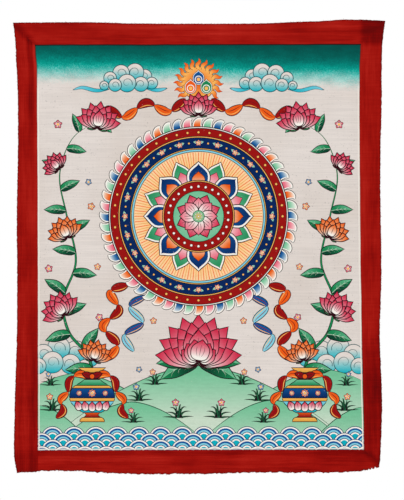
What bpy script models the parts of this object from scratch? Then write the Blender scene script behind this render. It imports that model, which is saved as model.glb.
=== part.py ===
"""A thangka painting on one piece of primed cotton canvas, hung by its top edge.

The canvas is a single sheet with no rod, binding or ties. It hangs in the XZ plane with its painted
face towards -Y. The origin is the middle of the top edge, +Z is up, and lengths are in metres.

The canvas was pulled out at its corners when it was stretched for painting, so its waist is narrower
than its ends. Its cut edges wander by a few millimetres, and it hangs a little unevenly.
"""

import math

import bpy

MM = 0.001

# The straight rectangle that the canvas was cut to follow.
HALF_WIDTH = 201.5 * MM
DROP = 498.0 * MM
SHEET_THICKNESS = 1.2 * MM

# The grid of the sheet: one cell is about 13 mm each way.
CELLS_ACROSS = 32
CELLS_DOWN = 38

# How the four cut edges stand off that rectangle.
# Each row: (place along the edge, how far the edge stands outside the rectangle), both in mm.
# The top and bottom edges run from left to right, from the middle. The sides run down from the top.
TOP_EDGE = (
    (-201.5, 0.9),
    (-115.0, 1.4),
    (-69.0, 0.0),
    (64.0, 0.0),
    (104.0, 1.7),
    (130.0, 2.5),
    (157.0, 4.3),
    (184.0, 3.9),
    (201.5, 2.9),
)
BOTTOM_EDGE = (
    (-201.5, 1.2),
    (-162.0, -1.4),
    (-135.0, -1.1),
    (-95.0, 1.0),
    (-69.0, 2.1),
    (-29.0, 1.9),
    (24.0, 1.5),
    (77.0, 0.3),
    (118.0, 0.7),
    (157.0, 0.3),
    (184.0, -1.4),
    (194.0, -3.0),
    (201.5, -5.0),
)
LEFT_EDGE = (
    (0.0, 4.3),
    (18.0, 2.2),
    (51.0, 0.4),
    (84.0, -1.0),
    (134.0, -1.3),
    (201.0, -0.1),
    (301.0, -0.3),
    (351.0, 0.1),
    (401.0, 1.8),
    (467.0, 3.5),
    (485.0, 2.6),
    (498.0, 0.2),
)
RIGHT_EDGE = (
    (0.0, 5.8),
    (18.0, 3.6),
    (34.0, 2.3),
    (84.0, 1.9),
    (134.0, 0.7),
    (184.0, 0.3),
    (284.0, 1.4),
    (351.0, -0.4),
    (401.0, 1.6),
    (434.0, 2.3),
    (485.0, 0.7),
    (498.0, -0.8),
)

# The soft swells and hollows of the hanging sheet.
# Each row: (name, across from the middle, down from the top, half width, half height, rise), in mm.
# A rise is towards the viewer, and a fall, below zero, is away.
SWELLS = (
    ("left swell", -120.0, 270.0, 75.0, 210.0, 2.6),
    ("middle hollow", -10.0, 330.0, 60.0, 230.0, -2.0),
    ("right swell", 110.0, 240.0, 65.0, 200.0, 2.2),
    ("upper left curl", -206.0, 40.0, 45.0, 60.0, -2.0),
    ("upper right curl", 207.0, 50.0, 50.0, 70.0, -3.0),
    ("lower left curl", -205.0, 500.0, 60.0, 75.0, -4.0),
    ("lower hem swell", -60.0, 500.0, 50.0, 60.0, 2.0),
    ("lower right curl", 203.0, 495.0, 70.0, 70.0, -5.0),
)
# The top edge is held straight, and the sheet is free to swell from about this far below it.
HELD_DEPTH = 45.0 * MM

CANVAS_COLOR = (0.70, 0.64, 0.59, 1.0)
CANVAS_ROUGHNESS = 0.85


def eased(rows, place):
    """The stand-off in metres at a place in metres, on a smooth curve through a table's rows."""
    points = [(a * MM, b * MM) for a, b in rows]
    if place <= points[0][0]:
        return points[0][1]
    if place >= points[-1][0]:
        return points[-1][1]
    i = max(k for k in range(len(points) - 1) if points[k][0] <= place)

    def slope(k):
        before, after = points[max(k - 1, 0)], points[min(k + 1, len(points) - 1)]
        return (after[1] - before[1]) / (after[0] - before[0])

    (x0, y0), (x1, y1) = points[i], points[i + 1]
    span = x1 - x0
    t = (place - x0) / span
    return (
        (2 * t**3 - 3 * t**2 + 1) * y0
        + (t**3 - 2 * t**2 + t) * span * slope(i)
        + (3 * t**2 - 2 * t**3) * y1
        + (t**3 - t**2) * span * slope(i + 1)
    )


def top_point(across):
    x = (2 * across - 1) * HALF_WIDTH
    return x, eased(TOP_EDGE, x)


def bottom_point(across):
    x = (2 * across - 1) * HALF_WIDTH
    return x, -DROP - eased(BOTTOM_EDGE, x)


def left_point(down):
    return -HALF_WIDTH - eased(LEFT_EDGE, down * DROP), -down * DROP


def right_point(down):
    return HALF_WIDTH + eased(RIGHT_EDGE, down * DROP), -down * DROP


def sheet_point(across, down):
    """(x, z) of the flat sheet: the rectangle, with each edge's stand-off fading towards the far edge."""
    x = (2 * across - 1) * HALF_WIDTH
    z = -down * DROP
    left = left_point(down)[0] + HALF_WIDTH
    right = right_point(down)[0] - HALF_WIDTH
    top = top_point(across)[1]
    bottom = bottom_point(across)[1] + DROP
    return (
        x + (1 - across) * left + across * right,
        z + (1 - down) * top + down * bottom,
    )


def swell(x, z):
    """How far the hanging sheet stands out from its plane towards the viewer, in metres."""
    total = 0.0
    for _, across, down, half_width, half_height, rise in SWELLS:
        a = (x - across * MM) / (half_width * MM)
        b = (z + down * MM) / (half_height * MM)
        total += rise * MM * math.exp(-(a * a) - b * b)
    depth = max(0.0, -z) / HELD_DEPTH
    return total * (1 - math.exp(-depth * depth))


def cotton_canvas_material():
    material = bpy.data.materials.new("painted_cotton")
    material.use_nodes = True
    shader = material.node_tree.nodes["Principled BSDF"]
    shader.inputs["Base Color"].default_value = CANVAS_COLOR
    shader.inputs["Roughness"].default_value = CANVAS_ROUGHNESS
    shader.inputs["Metallic"].default_value = 0.0
    return material


def make_canvas():
    """The one sheet of cloth, as a grid through its middle that is thickened evenly to both sides."""
    points = []
    for row in range(CELLS_DOWN + 1):
        for column in range(CELLS_ACROSS + 1):
            x, z = sheet_point(column / CELLS_ACROSS, row / CELLS_DOWN)
            points.append((x, -swell(x, z), z))
    faces = []
    per_row = CELLS_ACROSS + 1
    for row in range(CELLS_DOWN):
        for column in range(CELLS_ACROSS):
            corner = row * per_row + column
            faces.append((corner, corner + per_row, corner + per_row + 1, corner + 1))
    mesh = bpy.data.meshes.new("canvas")
    mesh.from_pydata(points, [], faces)
    mesh.materials.append(cotton_canvas_material())
    canvas = bpy.data.objects.new("canvas", mesh)
    bpy.context.scene.collection.objects.link(canvas)
    thickness = canvas.modifiers.new("Thickness", "SOLIDIFY")
    thickness.thickness = SHEET_THICKNESS
    thickness.offset = 0.0
    thickness.use_even_offset = True
    mesh.shade_smooth()
    mesh.set_sharp_from_angle(angle=math.radians(40))
    return canvas


for old in list(bpy.data.objects):
    bpy.data.objects.remove(old, do_unlink=True)
make_canvas()
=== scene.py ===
"""The looks of a thangka painting on one piece of primed cotton canvas, hung by its top edge.

The sheet hangs where the frame's canvas does: its cut edge and its depth are read from that solid.
Its front is one flat map of brushed shapes, each with its own colours at its corners, so every
painted edge is a real edge in the mesh and nothing lies in layers. The painted face's material lays
the bare ground and the wash of sky under the map, and the broad red border over it.

The picture is drawn in millimetres, x to the viewer's right from the middle of the top edge and y up
from it, so a place further down has a lower y. The scene is in metres, with z up. Sizes are in
millimetres and turns in degrees where nothing else is said.
"""

from __future__ import annotations

import logging
import math
from collections.abc import Iterable, Sequence
from dataclasses import dataclass
from enum import Enum
from functools import cache
from typing import Any

import bpy
import numpy as np
from bpy.types import Material, Mesh, Node, NodeTree, Object
from bpy.types import NodeSocket as Socket
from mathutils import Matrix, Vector, geometry
from mathutils.bvhtree import BVHTree


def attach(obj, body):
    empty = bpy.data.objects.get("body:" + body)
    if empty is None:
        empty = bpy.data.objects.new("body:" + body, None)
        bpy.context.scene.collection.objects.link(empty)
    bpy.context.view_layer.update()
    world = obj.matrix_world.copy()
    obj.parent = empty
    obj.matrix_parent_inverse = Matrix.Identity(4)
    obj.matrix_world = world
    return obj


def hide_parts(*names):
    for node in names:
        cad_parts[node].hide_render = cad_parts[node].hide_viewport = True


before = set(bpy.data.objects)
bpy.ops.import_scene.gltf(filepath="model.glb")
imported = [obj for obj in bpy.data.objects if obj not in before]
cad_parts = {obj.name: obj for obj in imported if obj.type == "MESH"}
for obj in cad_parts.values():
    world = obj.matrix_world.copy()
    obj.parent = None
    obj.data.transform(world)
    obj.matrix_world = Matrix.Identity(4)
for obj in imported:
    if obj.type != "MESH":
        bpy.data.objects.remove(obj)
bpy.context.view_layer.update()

LOG = logging.getLogger("thangka")
MM = 0.001
Place = tuple[float, float]
Spot = tuple[float, float, float]
Array = np.ndarray


# ----- Colours and washes -----


class Pigment(Enum):
    """The painter's colours, as red, green and blue from 0 to 255."""

    CINNABAR = (150, 16, 14)
    LAKE = (122, 10, 20)
    MINIUM = (230, 90, 22)
    OCHRE = (246, 184, 96)
    PEACH = (250, 206, 160)
    GOLD = (214, 152, 58)
    MALACHITE = (112, 187, 146)
    PALE_MALACHITE = (196, 214, 194)
    LEAF = (26, 128, 78)
    DEEP_GREEN = (6, 62, 42)
    TURQUOISE = (10, 168, 184)
    SKY = (130, 202, 220)
    COBALT = (12, 80, 144)
    LAPIS = (3, 36, 88)
    ROSE = (228, 104, 124)
    MAGENTA = (200, 36, 66)
    BLUSH = (248, 216, 218)
    CHALK = (243, 238, 230)
    CREAM = (221, 211, 204)
    INK = (24, 20, 24)
    SEPIA = (46, 8, 18)
    TEAL_INK = (18, 78, 84)

    @property
    def encoded(self) -> Array:
        """The colour as display red, green and blue from 0 to 1."""
        return np.array(self.value, float) / 255


def to_linear(encoded: Array) -> Array:
    """Display values from 0 to 1 as linear ones."""
    return np.where(encoded <= 0.04045, encoded / 12.92, ((encoded + 0.055) / 1.055) ** 2.4)


def rgba(red: float, green: float, blue: float) -> tuple[float, ...]:
    """A colour given from 0 to 255, as the linear values that a shader's socket takes."""
    return (*to_linear(np.array((red, green, blue), float) / 255).tolist(), 1)


class Run(Enum):
    """How a wash runs from its first colour to its second."""

    ALONG = "along"
    OUTWARD = "outward"


@dataclass(frozen=True)
class Wash:
    """One colour, or one laid softly into another, in a motif's own millimetres.

    It starts at the origin and runs to its end colour, along its reach or outward as far as that. A bias
    over 1 holds the first colour for longer, and one under 1 the second. A flat coat has no end.
    """

    start: Pigment
    end: Pigment | None = None
    origin: Place = (0, 0)
    reach: Place = (0, 1)
    run: Run = Run.ALONG
    bias: float = 1

    def at(self, places: Array) -> Array:
        """The coat's colour at some places.

        Args:
            places: (n, 2) places in the motif's own millimetres.

        Returns:
            (n, 4) linear red, green and blue, and a cover of 1.
        """
        far = (self.end or self.start).encoded
        reach = np.array(self.reach, float)
        away = places - np.array(self.origin, float)
        if self.run is Run.OUTWARD:
            share = np.hypot(away[:, 0], away[:, 1]) / np.hypot(*reach)
        else:
            share = away @ reach / (reach @ reach)
        share = np.clip(share, 0, 1)[:, None] ** self.bias
        colour = to_linear(self.start.encoded * (1 - share) + far * share)
        return np.hstack([colour, np.ones_like(share)])


# ----- Lines and outlines -----


def bezier(start: Place, leave: Place, arrive: Place, end: Place, steps: int) -> Array:
    """Places along one cubic curve.

    Args:
        start: where it starts.
        leave: the handle that it leaves towards.
        arrive: the handle that it arrives from.
        end: where it ends.
        steps: how many equal steps it is cut into.

    Returns:
        (steps + 1, 2) places.
    """
    t = np.linspace(0, 1, steps + 1)[:, None]
    a, b, c, d = (np.array(p, float) for p in (start, leave, arrive, end))
    return (1 - t) ** 3 * a + 3 * (1 - t) ** 2 * t * b + 3 * (1 - t) * t**2 * c + t**3 * d


def disc(centre: Place, radius: float, steps: int = 32) -> Array:
    """The outline of a round patch, counterclockwise from its right."""
    turn = np.radians(np.linspace(0, 360 * (steps - 1) / steps, steps))
    return np.array(centre, float) + radius * np.stack([np.cos(turn), np.sin(turn)], axis=1)


def smooth_line(knots: Sequence[Place], step: float) -> Array:
    """A smooth line through some knots.

    Args:
        knots: the places that it passes through.
        step: about how far apart its places are.

    Returns:
        (n, 2) places, from the first knot to the last.
    """
    points = np.array(knots, float)
    padded = np.vstack([2 * points[0] - points[1], points, 2 * points[-1] - points[-2]])
    parts = []
    for i in range(len(points) - 1):
        p0, p1, p2, p3 = padded[i : i + 4]
        count = max(2, int(math.ceil(np.hypot(*(p2 - p1)) / step)))
        t = np.linspace(0, 1, count, endpoint=False)[:, None]
        parts.append(
            0.5 * (2 * p1 + (p2 - p0) * t + (2 * p0 - 5 * p1 + 4 * p2 - p3) * t**2)
            + 0.5 * (3 * p1 - p0 - 3 * p2 + p3) * t**3
        )
    return np.vstack([*parts, points[-1:]])


def normals_of(line: Array, closed: bool) -> Array:
    """The unit normals to the right of a line at its places.

    Args:
        line: (n, 2) its places.
        closed: whether it closes on its first place.

    Returns:
        (n, 2) unit vectors.
    """
    before, after = np.roll(line, 1, axis=0), np.roll(line, -1, axis=0)
    along = after - before if closed else np.gradient(line, axis=0)
    length = np.maximum(np.hypot(along[:, 0], along[:, 1]), 1e-9)[:, None]
    return np.stack([along[:, 1], -along[:, 0]], axis=1) / length


def signed_area(outline: Array) -> float:
    """The area of a closed outline, below zero where it runs clockwise."""
    after = np.roll(outline, -1, axis=0)
    return 0.5 * float(np.sum(outline[:, 0] * after[:, 1] - after[:, 0] * outline[:, 1]))


def grown(outline: Array, by: float) -> Array:
    """A closed outline moved outwards all round, or inwards where the distance is below zero."""
    way = by if signed_area(outline) > 0 else -by
    return outline + normals_of(outline, closed=True) * way


def ribbon(line: Array, widths: Array) -> Array:
    """The outline of a stroke along a line, with its full width at each place."""
    side = normals_of(line, closed=False) * (np.maximum(widths, 0.04) / 2)[:, None]
    return np.vstack([line + side, (line - side)[::-1]])


def mirrored(right: Array) -> Array:
    """A closed outline that is alike on both sides of the y axis.

    Args:
        right: (n, 2) its right side, from the foot up to the tip on the axis.

    Returns:
        The whole outline, counterclockwise.
    """
    left = right[-2:0:-1] * (-1, 1)
    if abs(right[0, 0]) > 1e-9:
        left = np.vstack([left, right[:1] * (-1, 1)])
    return np.vstack([right, left])


def inside(outline: Array, places: Array) -> Array:
    """Finds which places lie inside a closed outline.

    Args:
        outline: (n, 2) the outline.
        places: (m, 2) the places.

    Returns:
        (m,) true for each place inside.
    """
    odd = np.zeros(len(places), bool)
    for (x0, y0), (x1, y1) in zip(outline, np.roll(outline, -1, axis=0)):
        if y0 != y1:
            spans = (y0 > places[:, 1]) != (y1 > places[:, 1])
            odd ^= spans & (places[:, 0] < x0 + (places[:, 1] - y0) * (x1 - x0) / (y1 - y0))
    return odd


def with_third(flat: Array, third: float) -> Array:
    """Flat places with the same third number for all."""
    return np.hstack([flat, np.full((len(flat), 1), third)])


def numbered(outlines: Sequence[Array]) -> list[list[int]]:
    """The numbers of each outline's places once all outlines are stacked into one list."""
    ends = np.cumsum([len(outline) for outline in outlines]).tolist()
    return [list(range(end - len(outline), end)) for outline, end in zip(outlines, ends)]


# ----- Motifs: coats of paint in their order -----


class Taper(Enum):
    """Where a brush stroke thins out."""

    END = "end"
    BOTH = "both"


@dataclass
class Coat:
    """One brushed shape: its outline now, the same as it was first drawn, and the wash read by that."""

    outline: Array
    drawn: Array
    wash: Wash

    def colours(self, places: Array) -> Array:
        """The coat's colour at some places of the picture.

        Args:
            places: (n, 2) the places.

        Returns:
            (n, 4) linear colour and cover.
        """
        if self.wash.end is None:
            return self.wash.at(places)
        back = np.linalg.lstsq(with_third(self.outline, 1), self.drawn, rcond=None)[0]
        return self.wash.at(with_third(places, 1) @ back)


@dataclass
class Motif:
    """A drawing made of coats in the order in which they are laid. Most grow up from their origin."""

    DRAWN = "drawn"
    WASH = "wash"

    def __post_init__(self) -> None:
        """Starts with no coats, and draws what the motif shows."""
        self.coats: list[Coat] = []
        self.draw()

    def draw(self) -> None:
        """Lays the motif's own coats. A plain motif has none."""

    def fill(self, outline: Array, paint: Wash | Pigment) -> None:
        """Lays one coat inside a closed outline."""
        wash = Wash(paint) if isinstance(paint, Pigment) else paint
        self.coats.append(Coat(outline, outline.copy(), wash))

    def inked(
        self, outline: Array, paint: Wash | Pigment, ink: Pigment = Pigment.INK, line: float = 0.7
    ) -> None:
        """Lays one coat, and under it a coat of ink that shows as a fine line of this width round it."""
        self.fill(grown(outline, line / 2), ink)
        self.fill(grown(outline, -line / 2), paint)

    def stroke(self, line: Array, width: float, paint: Wash | Pigment, taper: Taper = Taper.BOTH) -> None:
        """Draws one brush stroke.

        Args:
            line: the stroke's middle line.
            width: its full width where it is thickest.
            paint: its colour.
            taper: where it thins out.
        """
        t = np.linspace(0, 1, len(line))
        press = np.sin(math.pi * t) ** 0.6 if taper is Taper.BOTH else (1 - t) ** 0.7
        self.fill(ribbon(line, width * press), paint)

    def add(
        self, other: Motif, at: Place = (0, 0), turn: float = 0, size: float = 1, flipped: bool = False
    ) -> None:
        """Draws another motif into this one.

        Args:
            other: the motif.
            at: where its origin comes.
            turn: how far it is turned clockwise, in degrees.
            size: its scale.
            flipped: whether left and right change places first.
        """
        angle = math.radians(-turn)
        spin = size * np.array([[math.cos(angle), math.sin(angle)], [-math.sin(angle), math.cos(angle)]])
        flip = np.array([-1 if flipped else 1, 1])
        for coat in other.coats:
            self.coats.append(Coat((coat.outline * flip) @ spin + at, coat.drawn, coat.wash))

    def to_object(self, washes: list[Wash]) -> Object:
        """The motif as a flat mesh with a face for each coat, which Geometry Nodes can repeat.

        Args:
            washes: the list that takes the motif's washes, which the faces name by their place.

        Returns:
            An object that isn't in the scene.
        """
        outlines = [coat.outline for coat in self.coats]
        mesh = bpy.data.meshes.new("motif")
        mesh.from_pydata(with_third(np.vstack(outlines), 0).tolist(), [], numbered(outlines))
        drawn = with_third(np.vstack([coat.drawn for coat in self.coats]), 0)
        mesh.attributes.new(self.DRAWN, "FLOAT_VECTOR", "POINT").data.foreach_set("vector", drawn.ravel())
        places = list(range(len(washes), len(washes) + len(self.coats)))
        mesh.attributes.new(self.WASH, "INT", "FACE").data.foreach_set("value", places)
        washes.extend(coat.wash for coat in self.coats)
        return bpy.data.objects.new("motif", mesh)

    @classmethod
    def from_mesh(cls, mesh: Mesh, washes: list[Wash]) -> Motif:
        """The motif that a flat mesh holds.

        Args:
            mesh: a mesh that to_object's mesh was repeated into.
            washes: the washes that its faces name by their place.

        Returns:
            The motif, its coats in the order of the mesh's faces.
        """
        points = read(mesh.vertices, "co", 3)[:, :2]
        drawn = read(mesh.attributes[cls.DRAWN].data, "vector", 3)[:, :2]
        wash = read(mesh.attributes[cls.WASH].data, "value", 1).astype(int).ravel()
        motif = cls()
        for face, index in zip(mesh.polygons, wash):
            corners = list(face.vertices)
            motif.coats.append(Coat(points[corners], drawn[corners], washes[index]))
        return motif


# ----- Blender's data -----


def read(data: Any, name: str, width: int) -> Array:
    """Reads a property of all the items of a Blender collection.

    Args:
        data: the collection.
        name: the property.
        width: how many numbers it has in each item.

    Returns:
        (n, width) values.
    """
    values = np.empty(len(data) * width, dtype=np.float64)
    data.foreach_get(name, values)
    return values.reshape(-1, width)


def shown(name: str, data: Any) -> Object:
    """Makes an object in the scene.

    Args:
        name: its name.
        data: its mesh, camera or lamp.

    Returns:
        The object.
    """
    made = bpy.data.objects.new(name, data)
    bpy.context.scene.collection.objects.link(made)
    return made


def curve_through(name: str, places: Array, closed: bool) -> Object:
    """Makes a curve of straight steps that isn't in the scene.

    Args:
        name: its name.
        places: (n, 3) its places.
        closed: whether it closes on its first place.

    Returns:
        The curve's object.
    """
    curve = bpy.data.curves.new(name, "CURVE")
    curve.dimensions = "3D"
    spline = curve.splines.new("POLY")
    spline.points.add(len(places) - 1)
    spline.points.foreach_set("co", np.hstack([places, np.ones((len(places), 1))]).ravel())
    spline.use_cyclic_u = closed
    return bpy.data.objects.new(name, curve)


class Bench:
    """Lays nodes into one tree and links them as they are laid."""

    def __init__(self, tree: NodeTree) -> None:
        """Starts on an empty tree."""
        self.tree = tree
        tree.nodes.clear()

    def lay(self, kind: str, inputs: dict[Any, Any] | None = None, **settings: Any) -> Node:
        """Lays one node.

        Args:
            kind: the node's type.
            inputs: its inputs by name or place, each a socket to link or a value to set.
            **settings: its other properties.

        Returns:
            The node.
        """
        node = self.tree.nodes.new(kind)
        for name, value in settings.items():
            setattr(node, name, value)
        for key, value in (inputs or {}).items():
            self.set(node.inputs[key], value)
        return node

    def set(self, socket: Socket, value: Any) -> None:
        """Links an input to a socket, or sets it to a value.

        Args:
            socket: the input.
            value: the socket or the value.
        """
        if isinstance(value, Socket):
            self.tree.links.new(value, socket)
        else:
            socket.default_value = value

    def math(self, operation: str, *values: Any, clamp: bool = False) -> Socket:
        """One sum, product or other function of numbers."""
        inputs = dict(enumerate(values))
        return self.lay("ShaderNodeMath", inputs, operation=operation, use_clamp=clamp).outputs[0]

    def times(self, value: Any, factor: Any) -> Socket:
        """A value times a factor."""
        return self.math("MULTIPLY", value, factor)

    def scaled(self, value: Any, factor: Any, offset: Any = 0) -> Socket:
        """A value times a factor, plus an offset."""
        return self.math("MULTIPLY_ADD", value, factor, offset)

    def spread(self, value: Any, low: Any, high: Any, to_low: Any = 0, to_high: Any = 1) -> Socket:
        """A value eased from one range to another, and held at its ends."""
        inputs = {0: value, 1: low, 2: high, 3: to_low, 4: to_high}
        return self.lay("ShaderNodeMapRange", inputs, interpolation_type="SMOOTHSTEP").outputs[0]

    def vector(self, x: Any = 0, y: Any = 0, z: Any = 0) -> Socket:
        """Three numbers as one vector."""
        return self.lay("ShaderNodeCombineXYZ", {0: x, 1: y, 2: z}).outputs[0]

    def noise(self, vector: Any, scale: float = 1, detail: float = 2, roughness: float = 0.5) -> Socket:
        """Smooth noise from 0 to 1 at a place."""
        inputs = {"Vector": vector, "Scale": scale, "Detail": detail, "Roughness": roughness}
        return self.lay("ShaderNodeTexNoise", inputs).outputs[0]

    def drawn_out(self, at: Any, across: float, down: float, shift: float, detail: float) -> Socket:
        """Noise on the cloth with its own scale across and down, at a place parted into x, y and z."""
        place = self.vector(self.scaled(at[0], across), shift, self.scaled(at[2], down))
        return self.noise(place, detail=detail)

    def pick(self, share: Any, first: Any, second: Any) -> Socket:
        """A number between two others, by how much of the second is taken."""
        return self.lay("ShaderNodeMix", {0: share, 2: first, 3: second}, data_type="FLOAT").outputs[0]

    def blend(self, share: Any, below: Any, above: Any, way: str = "MIX") -> Socket:
        """One colour laid over another."""
        inputs = {0: share, 6: below, 7: above}
        return self.lay("ShaderNodeMix", inputs, data_type="RGBA", blend_type=way).outputs[2]

    def dimmed(self, colour: Any, factor: Any) -> Socket:
        """A colour times a number."""
        return self.blend(1, colour, self.vector(factor, factor, factor), "MULTIPLY")

    def tones(self, value: Any, stops: Sequence[tuple[float, tuple]]) -> Socket:
        """A colour read along a row of stops.

        Args:
            value: where to read it, from 0 to 1.
            stops: each stop's place from 0 to 1 and its colour.

        Returns:
            The colour.
        """
        node = self.lay("ShaderNodeValToRGB", {0: value})
        while len(node.color_ramp.elements) < len(stops):
            node.color_ramp.elements.new(1)
        for element, (place, colour) in zip(node.color_ramp.elements, stops):
            element.position = place
            element.color = colour
        return node.outputs[0]


def new_group(name: str, kind: str, takes: dict[str, Any], gives: dict[str, str]) -> tuple:
    """Makes a node group with named sockets.

    Args:
        name: the group's name.
        kind: ShaderNodeTree or GeometryNodeTree.
        takes: its inputs: a type of socket, or a number for a plain number with that default.
        gives: its outputs and their types of socket.

    Returns:
        The bench on the group's tree, the input node's outputs, and the output node.
    """
    tree = bpy.data.node_groups.new(name, kind)
    bench = Bench(tree)
    for label, value in takes.items():
        is_type = isinstance(value, str)
        socket_type = value if is_type else "NodeSocketFloat"
        socket = tree.interface.new_socket(label, in_out="INPUT", socket_type=socket_type)
        if not is_type:
            socket.default_value = value
    for label, socket_type in gives.items():
        tree.interface.new_socket(label, in_out="OUTPUT", socket_type=socket_type)
    return bench, bench.lay("NodeGroupInput").outputs, bench.lay("NodeGroupOutput")


# ----- Repeats by Geometry Nodes -----


def end_in_copies(bench: Bench, give: Node, copies: dict[str, Any], material: Any) -> None:
    """Ends a tree in copies of a shape on points, made real and given their material.

    Args:
        bench: the tree's bench.
        give: the tree's output node.
        copies: the points, the shape, and each copy's rotation and scale.
        material: the socket of the material.
    """
    placed = bench.lay("GeometryNodeInstanceOnPoints", copies)
    real = bench.lay("GeometryNodeRealizeInstances", {0: placed.outputs[0]})
    dressed = bench.lay("GeometryNodeSetMaterial", {"Geometry": real.outputs[0], "Material": material})
    bench.tree.links.new(dressed.outputs[0], give.inputs[0])


def grow(name: str, tree: NodeTree, values: dict[str, Any]) -> Mesh:
    """Runs a Geometry Nodes tree and takes its result as a plain mesh.

    Args:
        name: the mesh's name.
        tree: the tree.
        values: the tree's inputs by name. The objects among them are removed afterwards.

    Returns:
        The mesh.
    """
    carrier = shown(name, bpy.data.meshes.new(name))
    modifier = carrier.modifiers.new(tree.name, "NODES")
    modifier.node_group = tree
    for socket in tree.interface.items_tree:
        if socket.in_out == "INPUT" and socket.name in values:
            modifier[socket.identifier] = values[socket.name]
    carrier.update_tag()
    ready = bpy.context.evaluated_depsgraph_get()
    ready.update()
    mesh = bpy.data.meshes.new_from_object(carrier.evaluated_get(ready))
    carrier.modifiers.remove(modifier)
    for helper in (carrier, *values.values()):
        if isinstance(helper, Object):
            bpy.data.objects.remove(helper, do_unlink=True)
    mesh.name = name
    return mesh


@dataclass
class Repeat:
    """A rule by which Geometry Nodes repeat a motif: how many copies there are, and how large."""

    count: int
    size: float = 1

    TREE = "repeat"
    TAKES = {"Count": "NodeSocketInt", "Size": 1}

    def values(self) -> dict[str, Any]:
        """The tree's inputs by name."""
        return {"Count": self.count, "Size": self.size}

    def spots(self, bench: Bench, take: Any) -> tuple[Any, Any, Any]:
        """Lays the nodes that give the points, and each copy's turn and scale."""
        raise NotImplementedError

    def tree(self) -> NodeTree:
        """The rule's node tree, which is built once.

        Returns:
            The tree.
        """
        known = bpy.data.node_groups.get(self.TREE)
        if known:
            return known
        takes = {"Motif": "NodeSocketObject", "Paint": "NodeSocketMaterial", **self.TAKES}
        gives = {"Geometry": "NodeSocketGeometry"}
        bench, take, give = new_group(self.TREE, "GeometryNodeTree", takes, gives)
        motif = bench.lay("GeometryNodeObjectInfo", {"Object": take["Motif"]}).outputs["Geometry"]
        points, turn, scale = self.spots(bench, take)
        copies = {"Points": points, "Instance": motif, "Rotation": turn, "Scale": scale}
        end_in_copies(bench, give, copies, take["Paint"])
        return bench.tree

    def lay(self, motif: Motif) -> Motif:
        """Repeats a motif by the rule.

        Args:
            motif: the motif.

        Returns:
            One motif with the coats of every copy, copy by copy.
        """
        washes: list[Wash] = []
        values = {"Motif": motif.to_object(washes), "Paint": PaintedFace.material(), **self.values()}
        mesh = grow("repeated", self.tree(), values)
        repeated = Motif.from_mesh(mesh, washes)
        bpy.data.meshes.remove(mesh)
        return repeated


@dataclass
class Ring(Repeat):
    """Copies round a circle, each pointing outwards, or an arc of them.

    The first stands so many degrees clockwise from the top. A span of a whole turn closes the ring.
    """

    radius: float = 10
    first: float = 0
    span: float = 360

    TREE = "ring of motifs"
    TAKES = {**Repeat.TAKES, "Radius": 1, "First turn": 0, "Step": 0.1}

    def values(self) -> dict[str, Any]:
        """The tree's inputs by name.

        Returns:
            The inputs.
        """
        steps = self.count if self.span >= 360 else self.count - 1
        turns = {"First turn": math.radians(self.first), "Step": math.radians(self.span / steps)}
        return {**super().values(), "Radius": self.radius, **turns}

    def spots(self, bench: Bench, take: Any) -> tuple[Any, Any, Any]:
        """Lays the nodes that place the copies.

        Args:
            bench: the tree's bench.
            take: the tree's inputs.

        Returns:
            The points, and each copy's turn and scale.
        """
        index = bench.lay("GeometryNodeInputIndex").outputs[0]
        angle = bench.scaled(index, take["Step"], take["First turn"])
        x = bench.times(bench.math("SINE", angle), take["Radius"])
        y = bench.times(bench.math("COSINE", angle), take["Radius"])
        points = bench.lay("GeometryNodePoints", {"Count": take["Count"], "Position": bench.vector(x, y)})
        turn = bench.vector(0, 0, bench.scaled(angle, -1))
        return points.outputs[0], turn, bench.vector(take["Size"], take["Size"], 1)


@dataclass
class Rows(Repeat):
    """Copies in rows, one below the other, every second row set over by half a pitch."""

    columns: int = 1
    pitch: float = 10
    drop: float = 5

    TREE = "rows of motifs"
    TAKES = {**Repeat.TAKES, "Columns": 1, "Pitch": 1, "Drop": 1}

    def values(self) -> dict[str, Any]:
        """The tree's inputs by name."""
        sizes = {"Columns": float(self.columns), "Pitch": self.pitch, "Drop": self.drop}
        return {**super().values(), **sizes}

    def spots(self, bench: Bench, take: Any) -> tuple[Any, Any, Any]:
        """Lays the nodes that place the copies.

        Args:
            bench: the tree's bench.
            take: the tree's inputs.

        Returns:
            The points, and each copy's turn and scale.
        """
        index = bench.lay("GeometryNodeInputIndex").outputs[0]
        row = bench.math("FLOOR", bench.math("DIVIDE", index, take["Columns"]))
        column = bench.math("SUBTRACT", index, bench.times(row, take["Columns"]))
        middle = bench.scaled(take["Columns"], 0.5, -0.5)
        over = bench.scaled(bench.math("MODULO", row, 2), 0.5)
        place = bench.math("ADD", bench.math("SUBTRACT", column, middle), over)
        x = bench.times(place, take["Pitch"])
        y = bench.times(row, bench.scaled(take["Drop"], -1))
        points = bench.lay("GeometryNodePoints", {"Count": take["Count"], "Position": bench.vector(x, y)})
        return points.outputs[0], bench.vector(), bench.vector(take["Size"], take["Size"], 1)


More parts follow.
